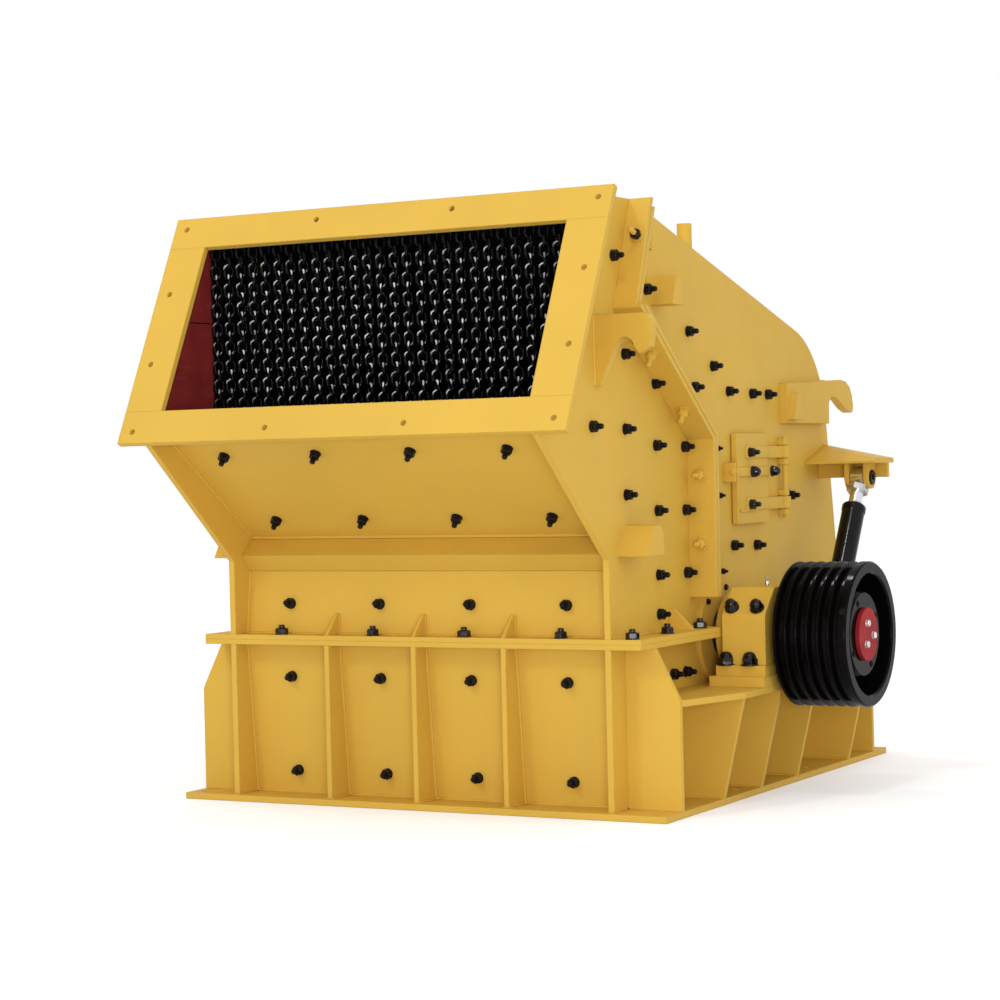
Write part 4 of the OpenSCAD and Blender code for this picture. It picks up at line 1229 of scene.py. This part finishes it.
@dataclass
class DoorGear:
    """Hinge straps, cross bar and nuts of an inspection door, and the keep that its bar's end lies in."""

    side: Side = Side.RIGHT
    face_x: float = 1063.0
    sunk: float = 1.0
    strap_zs: Spot = (1375.0, 1635.0)
    strap_ys: Spot = (118.0, 414.0)
    strap_section: Spot = (60.0, 9.0)
    pad_ys: Spot = (138.0, 198.0)
    pad_section: Spot = (78.0, 6.0)
    bar_z: float = 1538.0
    bar_ys: Spot = (-24.0, 470.0)
    bar_section: Spot = (44.0, 14.0)
    lip_z: float = 1345.0
    lip_ys: Spot = (40.0, 250.0)
    lip_section: Spot = (14.0, 9.0)
    nut_size: float = 0.95
    stud_y: float = 160.0
    dome_ys: Spot = (180.0, 434.0)
    keep_ys: Spot = (-78.0, -40.0)
    keep_plate: Point = (14.0, 96.0, 66.0)
    keep_pin_x: float = 1080.0

    def flat(self, ys: Spot, z: float, section: Spot) -> Form:
        """A flat bar along Y, let a little into the door's face, with its height and thickness as section."""
        at = mm([[self.face_x - self.sunk, sum(ys) / 2, z]])
        return block(ys[1] - ys[0], *section).placed(at, OUT)

    def straps(self) -> Form:
        """The hinge straps with their pads, the cross bar and the lip under the lower strap.

        Returns:
            The bars as one form.
        """
        flats = [self.flat(self.strap_ys, z, self.strap_section) for z in self.strap_zs]
        flats += [self.flat(self.pad_ys, z, self.pad_section) for z in self.strap_zs]
        flats += [self.flat(self.bar_ys, self.bar_z, self.bar_section),
                  self.flat(self.lip_ys, self.lip_z, self.lip_section)]
        return joined(flats)

    def nuts(self) -> Form:
        """The nuts on the straps and the domed ones on the bar.

        Returns:
            The nuts as one form.
        """
        on_strap, on_bar = (self.face_x - self.sunk + s[1] for s in (self.strap_section, self.bar_section))
        stud_at = mm([[on_strap, self.stud_y, z] for z in self.strap_zs])
        dome_at = mm([[on_bar, y, self.bar_z] for y in self.dome_ys])
        return joined([stud_nut(self.nut_size).placed(stud_at, OUT, np.array([0.0, 0.6])),
                       dome_nut(self.nut_size).placed(dome_at, OUT, np.array([0.0, 0.5]))])

    def keep(self) -> Form:
        """The two plates of the keep and the pin across them.

        Returns:
            The keep as one form.
        """
        at = mm([[SIDE_X - self.sunk, y, self.bar_z] for y in self.keep_ys])
        pin = fastener([(8, -34), (11, -32), (11, 32), (8, 34)])
        pin_at = mm([[self.keep_pin_x, sum(self.keep_ys) / 2, self.bar_z]])
        return joined([block(*self.keep_plate).placed(at, OUT), pin.placed(pin_at, REARWARD)])

    def build(self) -> None:
        """Makes the door's gear on its side."""
        side, body = self.side, self.side.body("door")
        piece(f"door_{side.word}_straps", side.place(self.straps()), body, YELLOW)
        piece(f"door_{side.word}_nuts", side.place(self.nuts()), body, BOLT_GLOSS)
        piece(f"door_{side.word}_keep", side.place(self.keep()), Body.REAR, YELLOW)


@dataclass
class BearingGear:
    """Bolts, covers and grease points of the bearings, and the bolts of the seal rings."""

    block_x1: float = 1410.0
    half: float = 300.0
    shoulder_xs: Spot = (1232.0, 1360.0)
    shoulder_in: float = 30.0
    shoulder_z: float = 895.0
    shoulder_rise: float = 1.2
    shoulder_size: float = 1.15
    foot_xs: Spot = (1210.0, 1330.0)
    foot_out: float = 4.0
    foot_z: float = 628.0
    foot_size: float = 1.4
    nut_turn: float = 0.3
    cover_step: float = 14.0
    cover_circle: float = 184.0
    cover_screw: float = 0.45
    nipple: Spot = (1300.0, 990.0)
    seal_x: float = 1055.0
    seal_circle: float = 225.0
    seal_screw: float = 0.5

    def bolts(self) -> Form:
        """Domed nuts on the chamfered shoulders and large nuts at the block's feet.

        Returns:
            The nuts of the right bearing as one form.
        """
        front, rear = AXIS[0] - self.half, AXIS[0] + self.half
        shoulders = mm([[x, y, self.shoulder_z] for x in self.shoulder_xs
                        for y in (front + self.shoulder_in, rear - self.shoulder_in)])
        slope = np.array([[0.0, -1.0, self.shoulder_rise], [0.0, 1.0, self.shoulder_rise]] * 2)
        feet = mm([[x, y, self.foot_z] for x in self.foot_xs
                   for y in (front - self.foot_out, rear + self.foot_out)])
        turn = np.arange(4) * self.nut_turn
        return joined([dome_nut(self.shoulder_size).placed(shoulders, slope, turn),
                       dome_nut(self.foot_size).placed(feet, UP, turn)])

    def cover(self) -> Form:
        """A turned end cover on the block's outer face, with its stepped rim."""
        rows = [(106, -2), (196, -2), (196, 14), (176, 18), (150, 20), (146, 34), (106, 34), (106, -1.5)]
        return turned(rows, sides=48).placed(mm([[self.block_x1, *AXIS]]), OUT)

    def build(self) -> None:
        """Makes the gear of both bearings, which are mirror images."""
        piece("bearing_covers", both([self.cover()]), Body.FRAME, YELLOW)
        a = clock(8, 0.3)
        rim = round_axis(self.block_x1 + self.cover_step, self.cover_circle, a)
        screws = cap_screw(self.cover_screw).placed(rim, OUT, a)
        piece("bearing_bolts", both([self.bolts(), screws]), Body.FRAME, BOLT_GLOSS)
        rows = [(11, -1), (11, 8), (9, 9, 1), (9, 20, 1), (5, 22), (5, 32), (7, 34), (7, 40), (3, 43)]
        nipple = fastener(rows)
        x, top = self.nipple
        points = both([nipple.placed(mm([[x, AXIS[0], top]]), UP)])
        piece("grease_points", points, Body.FRAME, ZINC)
        a = np.arange(4) * math.pi / 6 + math.pi / 4
        seal = cap_screw(self.seal_screw).placed(round_axis(self.seal_x, self.seal_circle, a), OUT, a)
        piece("seal_screws_upper", both([seal]), Body.REAR, BOLT_BLACK)


@dataclass
class PulleyGear:
    """The screws of the pulley's red end cap and the plugs in its hub."""

    cap_x: float = 1812.0
    cap_circle: float = 58.0
    cap_screw: float = 0.6
    hub_x: float = 1792.0
    hub_circle: float = 168.0

    def build(self) -> None:
        """Makes the screws and plugs, which turn with the rotor."""
        at = round_axis(self.cap_x, self.cap_circle, clock(3, 1.95))
        screws = cap_screw(self.cap_screw).placed(at, OUT, np.arange(3) * 0.7)
        piece("cap_screws", screws, Body.ROTOR, ZINC)
        plug = fastener([(16, -1), (16, 2), (13, 4), (7, 4), (6, 1)])
        plugs = plug.placed(round_axis(self.hub_x, self.hub_circle, clock(4, 0.5)), OUT)
        piece("hub_plugs", plugs, Body.ROTOR, BLACK_GLOSS)


@dataclass
class CylinderGear:
    """Gland, end rings, oil ports and rod nut of an opening cylinder."""

    side: Side = Side.RIGHT
    foot: Point = (1297.0, 600.0, 680.0)
    eye: Point = (1297.0, 1100.0, 1490.0)
    barrel_r: float = 60.0
    rod_r: float = 35.0
    barrel_top: float = 773.9
    neck: float = 102.0
    top_ring: float = 34.0
    low_ring: float = 4.0
    low_port: float = 90.0
    top_port: float = 110.0
    nut_back: float = 92.0

    @property
    def axis(self) -> Array:
        """The way from the foot to the eye."""
        return unit(np.array(self.eye) - np.array(self.foot))

    def along(self, s: float) -> Array:
        """The place on the axis at a distance from the foot, in metres."""
        return mm([np.array(self.foot) + self.axis * s])

    def rings(self) -> Form:
        """The barrel's two end rings and its two oil ports.

        Returns:
            The pieces as one form.
        """
        r, axis = self.barrel_r, self.axis
        top = turned([(r - 4, 0), (r + 1, 0), (r + 3, 3), (r + 3, 30), (r + 1, 33), (r - 4, 33)], sides=40)
        low = turned([(r - 4, 0), (r + 4, 2), (r + 4, 20), (r - 4, 24)], sides=40)
        port = fastener([(22, -6), (22, 16), (17, 16, 1), (17, 34, 1), (12, 36), (12, 44)])
        way = np.array([0.0, axis[2], -axis[1]])
        ports = [port.placed(self.along(s) + mm(way * r), way)
                 for s in (self.neck + self.low_port, self.barrel_top - self.top_port)]
        return joined([top.placed(self.along(self.barrel_top - self.top_ring), axis),
                       low.placed(self.along(self.neck + self.low_ring), axis), *ports])

    def gland(self) -> Form:
        """The gland that the rod runs in, on the barrel's top.

        Returns:
            The turned gland.
        """
        bore = self.rod_r + 0.6
        rows = [(bore, -2), (50, -2), (50, 8), (45, 14), (self.rod_r + 4, 16), (bore, 16)]
        return turned(rows, sides=40).placed(self.along(self.barrel_top), self.axis)

    def nut(self) -> Form:
        """The hexagon nut on the rod, under its eye.

        Returns:
            The turned nut.
        """
        bore = self.rod_r + 0.3
        length = np.linalg.norm(np.array(self.eye) - np.array(self.foot))
        form = turned([(bore, 0), (50, 0, 1), (50, 34, 1), (46, 40), (bore, 40)])
        return form.placed(self.along(length - self.nut_back), self.axis)

    def build(self) -> None:
        """Makes the gear on the barrel and on the rod."""
        side, barrel, rod = self.side, self.side.body("barrel"), self.side.body("rod")
        piece(f"barrel_{side.word}_rings", side.place(self.rings()), barrel, BARREL_GLOSS)
        piece(f"barrel_{side.word}_gland", side.place(self.gland()), barrel, ZINC)
        piece(f"rod_{side.word}_nut", side.place(self.nut()), rod, ZINC)


@dataclass
class PinKeepers:
    """Washers and end screws of the cylinders' pins."""

    foot: Spot = CylinderGear.foot[1:]
    foot_x: float = 1374.0
    eye: Spot = CylinderGear.eye[1:]
    eye_xs: Spot = (1232.0, 1362.0)

    def build(self) -> None:
        """Makes the keepers on the bodies that hold the pins."""
        disc = turned([(10, 0), (40, 0), (40, 7), (36, 10), (14, 10), (14, 16), (10, 18)])
        low = disc.placed(mm([[self.foot_x, *self.foot]]), OUT)
        piece("foot_pin_keepers", both([low]), Body.FRAME, BOLT_BLACK)
        inner, outer = self.eye_xs
        high = [disc.placed(mm([[outer, *self.eye]]), OUT), disc.placed(mm([[inner, *self.eye]]), -OUT)]
        piece("eye_pin_keepers", both(high), Body.REAR, BOLT_BLACK)


# Studio

@dataclass(frozen=True)
class Lamp:
    """A square soft lamp at a place, aimed at a point."""

    name: str
    at: Point
    aim: Point
    size: float
    power: float

    def build(self) -> None:
        """Hangs the lamp."""
        data = bpy.data.lights.new(self.name, "AREA")
        data.shape, data.size, data.energy = "SQUARE", self.size, self.power
        obj = bpy.data.objects.new(self.name, data)
        z = unit(np.array(self.at) - np.array(self.aim))
        x = unit(np.cross(UP, z))
        rows = np.eye(4)
        rows[:3] = np.stack([x, np.cross(z, x), z, self.at], -1)
        obj.matrix_world = Matrix(rows.tolist())
        bpy.context.scene.collection.objects.link(obj)


@dataclass
class Studio:
    """Camera at the photograph's place, a pale floor, a white surround and soft lamps."""

    eye: Point = (5.9734, -11.3472, 1.6001)
    yaw: float = 28.823
    pitch: float = -0.801
    roll: float = 1.356
    focal_px: float = 2491.2
    image_px: float = 1000.0
    sensor: float = 36.0
    sight: float = 2000.0
    ambient: float = 0.85
    floor_half: float = 400.0
    floor_z: float = -0.002
    floor_glow: float = 0.33
    lamps: tuple[Lamp, ...] = (
        Lamp("key", (-3.0, -10.0, 8.5), (0.0, -0.5, 1.3), 1.6, 198.0),
        Lamp("side", (10.0, -4.0, 5.0), (0.0, 0.0, 1.2), 3.0, 40.0),
        Lamp("top", (-1.4, 1.6, 9.2), (1.6, -0.2, 0.8), 0.7, 90.0),
        Lamp("spark", (2.1, -4.1, 9.2), (1.2, 0.0, 1.0), 0.45, 66.0),
        Lamp("low", (7.0, -11.3, 1.3), (0.0, -1.0, 1.0), 2.5, 400.0))

    def camera(self) -> None:
        """Sets the camera from its bearing, tilt and roll."""
        yaw, pitch, roll = (math.radians(v) for v in (self.yaw, self.pitch, self.roll))
        ahead = np.array([-math.sin(yaw) * math.cos(pitch), math.cos(yaw) * math.cos(pitch), math.sin(pitch)])
        level = np.array([math.cos(yaw), math.sin(yaw), 0.0])
        down = np.cross(ahead, level)
        right = math.cos(roll) * level + math.sin(roll) * down
        up = math.sin(roll) * level - math.cos(roll) * down
        data = bpy.data.cameras.new("camera")
        data.sensor_width = self.sensor
        data.lens = self.focal_px / self.image_px * self.sensor
        data.clip_end = self.sight
        obj = bpy.data.objects.new("camera", data)
        rows = np.eye(4)
        rows[:3] = np.stack([right, up, -ahead, self.eye], -1)
        obj.matrix_world = Matrix(rows.tolist())
        bpy.context.scene.collection.objects.link(obj)
        bpy.context.scene.camera = obj

    def seen_share(self, tree: bpy.types.NodeTree) -> Socket:
        """A value that is 1 for rays from the camera and for what gloss and glass show.

        Args:
            tree: the nodes that it is added to.

        Returns:
            The value's socket.
        """
        path = tree.nodes.new("ShaderNodeLightPath")
        value = path.outputs["Is Camera Ray"]
        for name in ("Is Glossy Ray", "Is Transmission Ray"):
            node = tree.nodes.new("ShaderNodeMath")
            node.operation = "MAXIMUM"
            tree.links.new(value, node.inputs[0])
            tree.links.new(path.outputs[name], node.inputs[1])
            value = node.outputs[0]
        return value

    def world(self) -> None:
        """A white surround that lights the object at the ambient level."""
        world = bpy.data.worlds.new("surround")
        world.use_nodes = True
        tree = world.node_tree
        back = tree.nodes["Background"]
        back.inputs["Color"].default_value = (1, 1, 1, 1)
        node = tree.nodes.new("ShaderNodeMapRange")
        node.inputs["To Min"].default_value = self.ambient
        node.inputs["To Max"].default_value = 1.0
        tree.links.new(self.seen_share(tree), node.inputs["Value"])
        tree.links.new(node.outputs[0], back.inputs["Strength"])
        bpy.context.scene.world = world

    def floor(self) -> None:
        """A wide pale floor that keeps the object's shadow and runs out into the white surround."""
        h, z = self.floor_half, self.floor_z
        mesh = bpy.data.meshes.new("floor")
        mesh.from_pydata([(-h, -h, z), (h, -h, z), (h, h, z), (-h, h, z)], [], [(0, 1, 2, 3)])
        g = Graph("pale_floor")
        tone = g.mix(g.ramp(g.noise(0.6, 2.0), 0.3, 0.7), (0.80, 0.80, 0.80, 1), (0.82, 0.82, 0.82, 1))
        glow = g.ramp(self.seen_share(g.tree), 0.0, 1.0, 0.0, self.floor_glow)
        mesh.materials.append(g.finish({"Base Color": tone, "Roughness": 0.9, "Specular IOR Level": 0.0,
                                        "Emission Color": (1, 1, 1, 1), "Emission Strength": glow}))
        obj = bpy.data.objects.new("floor", mesh)
        bpy.context.scene.collection.objects.link(obj)

    def build(self) -> None:
        """Sets the whole studio."""
        self.camera()
        self.world()
        self.floor()
        for lamp in self.lamps:
            lamp.build()
        bpy.context.scene.view_settings.view_transform = "Standard"


def main() -> None:
    """Builds the studio and every piece in order."""
    logging.basicConfig(level=logging.INFO, format="%(name)s %(message)s")
    Studio().build()
    Paintwork().dress()
    ChainCurtain().build()
    BoltWork().build()
    SplitClamps().build()
    WeldWork().build()
    for side in Side:
        DoorGear(side).build()
    BearingGear().build()
    PulleyGear().build()
    for side in Side:
        CylinderGear(side).build()
    PinKeepers().build()


if __name__ == "__main__":
    main()
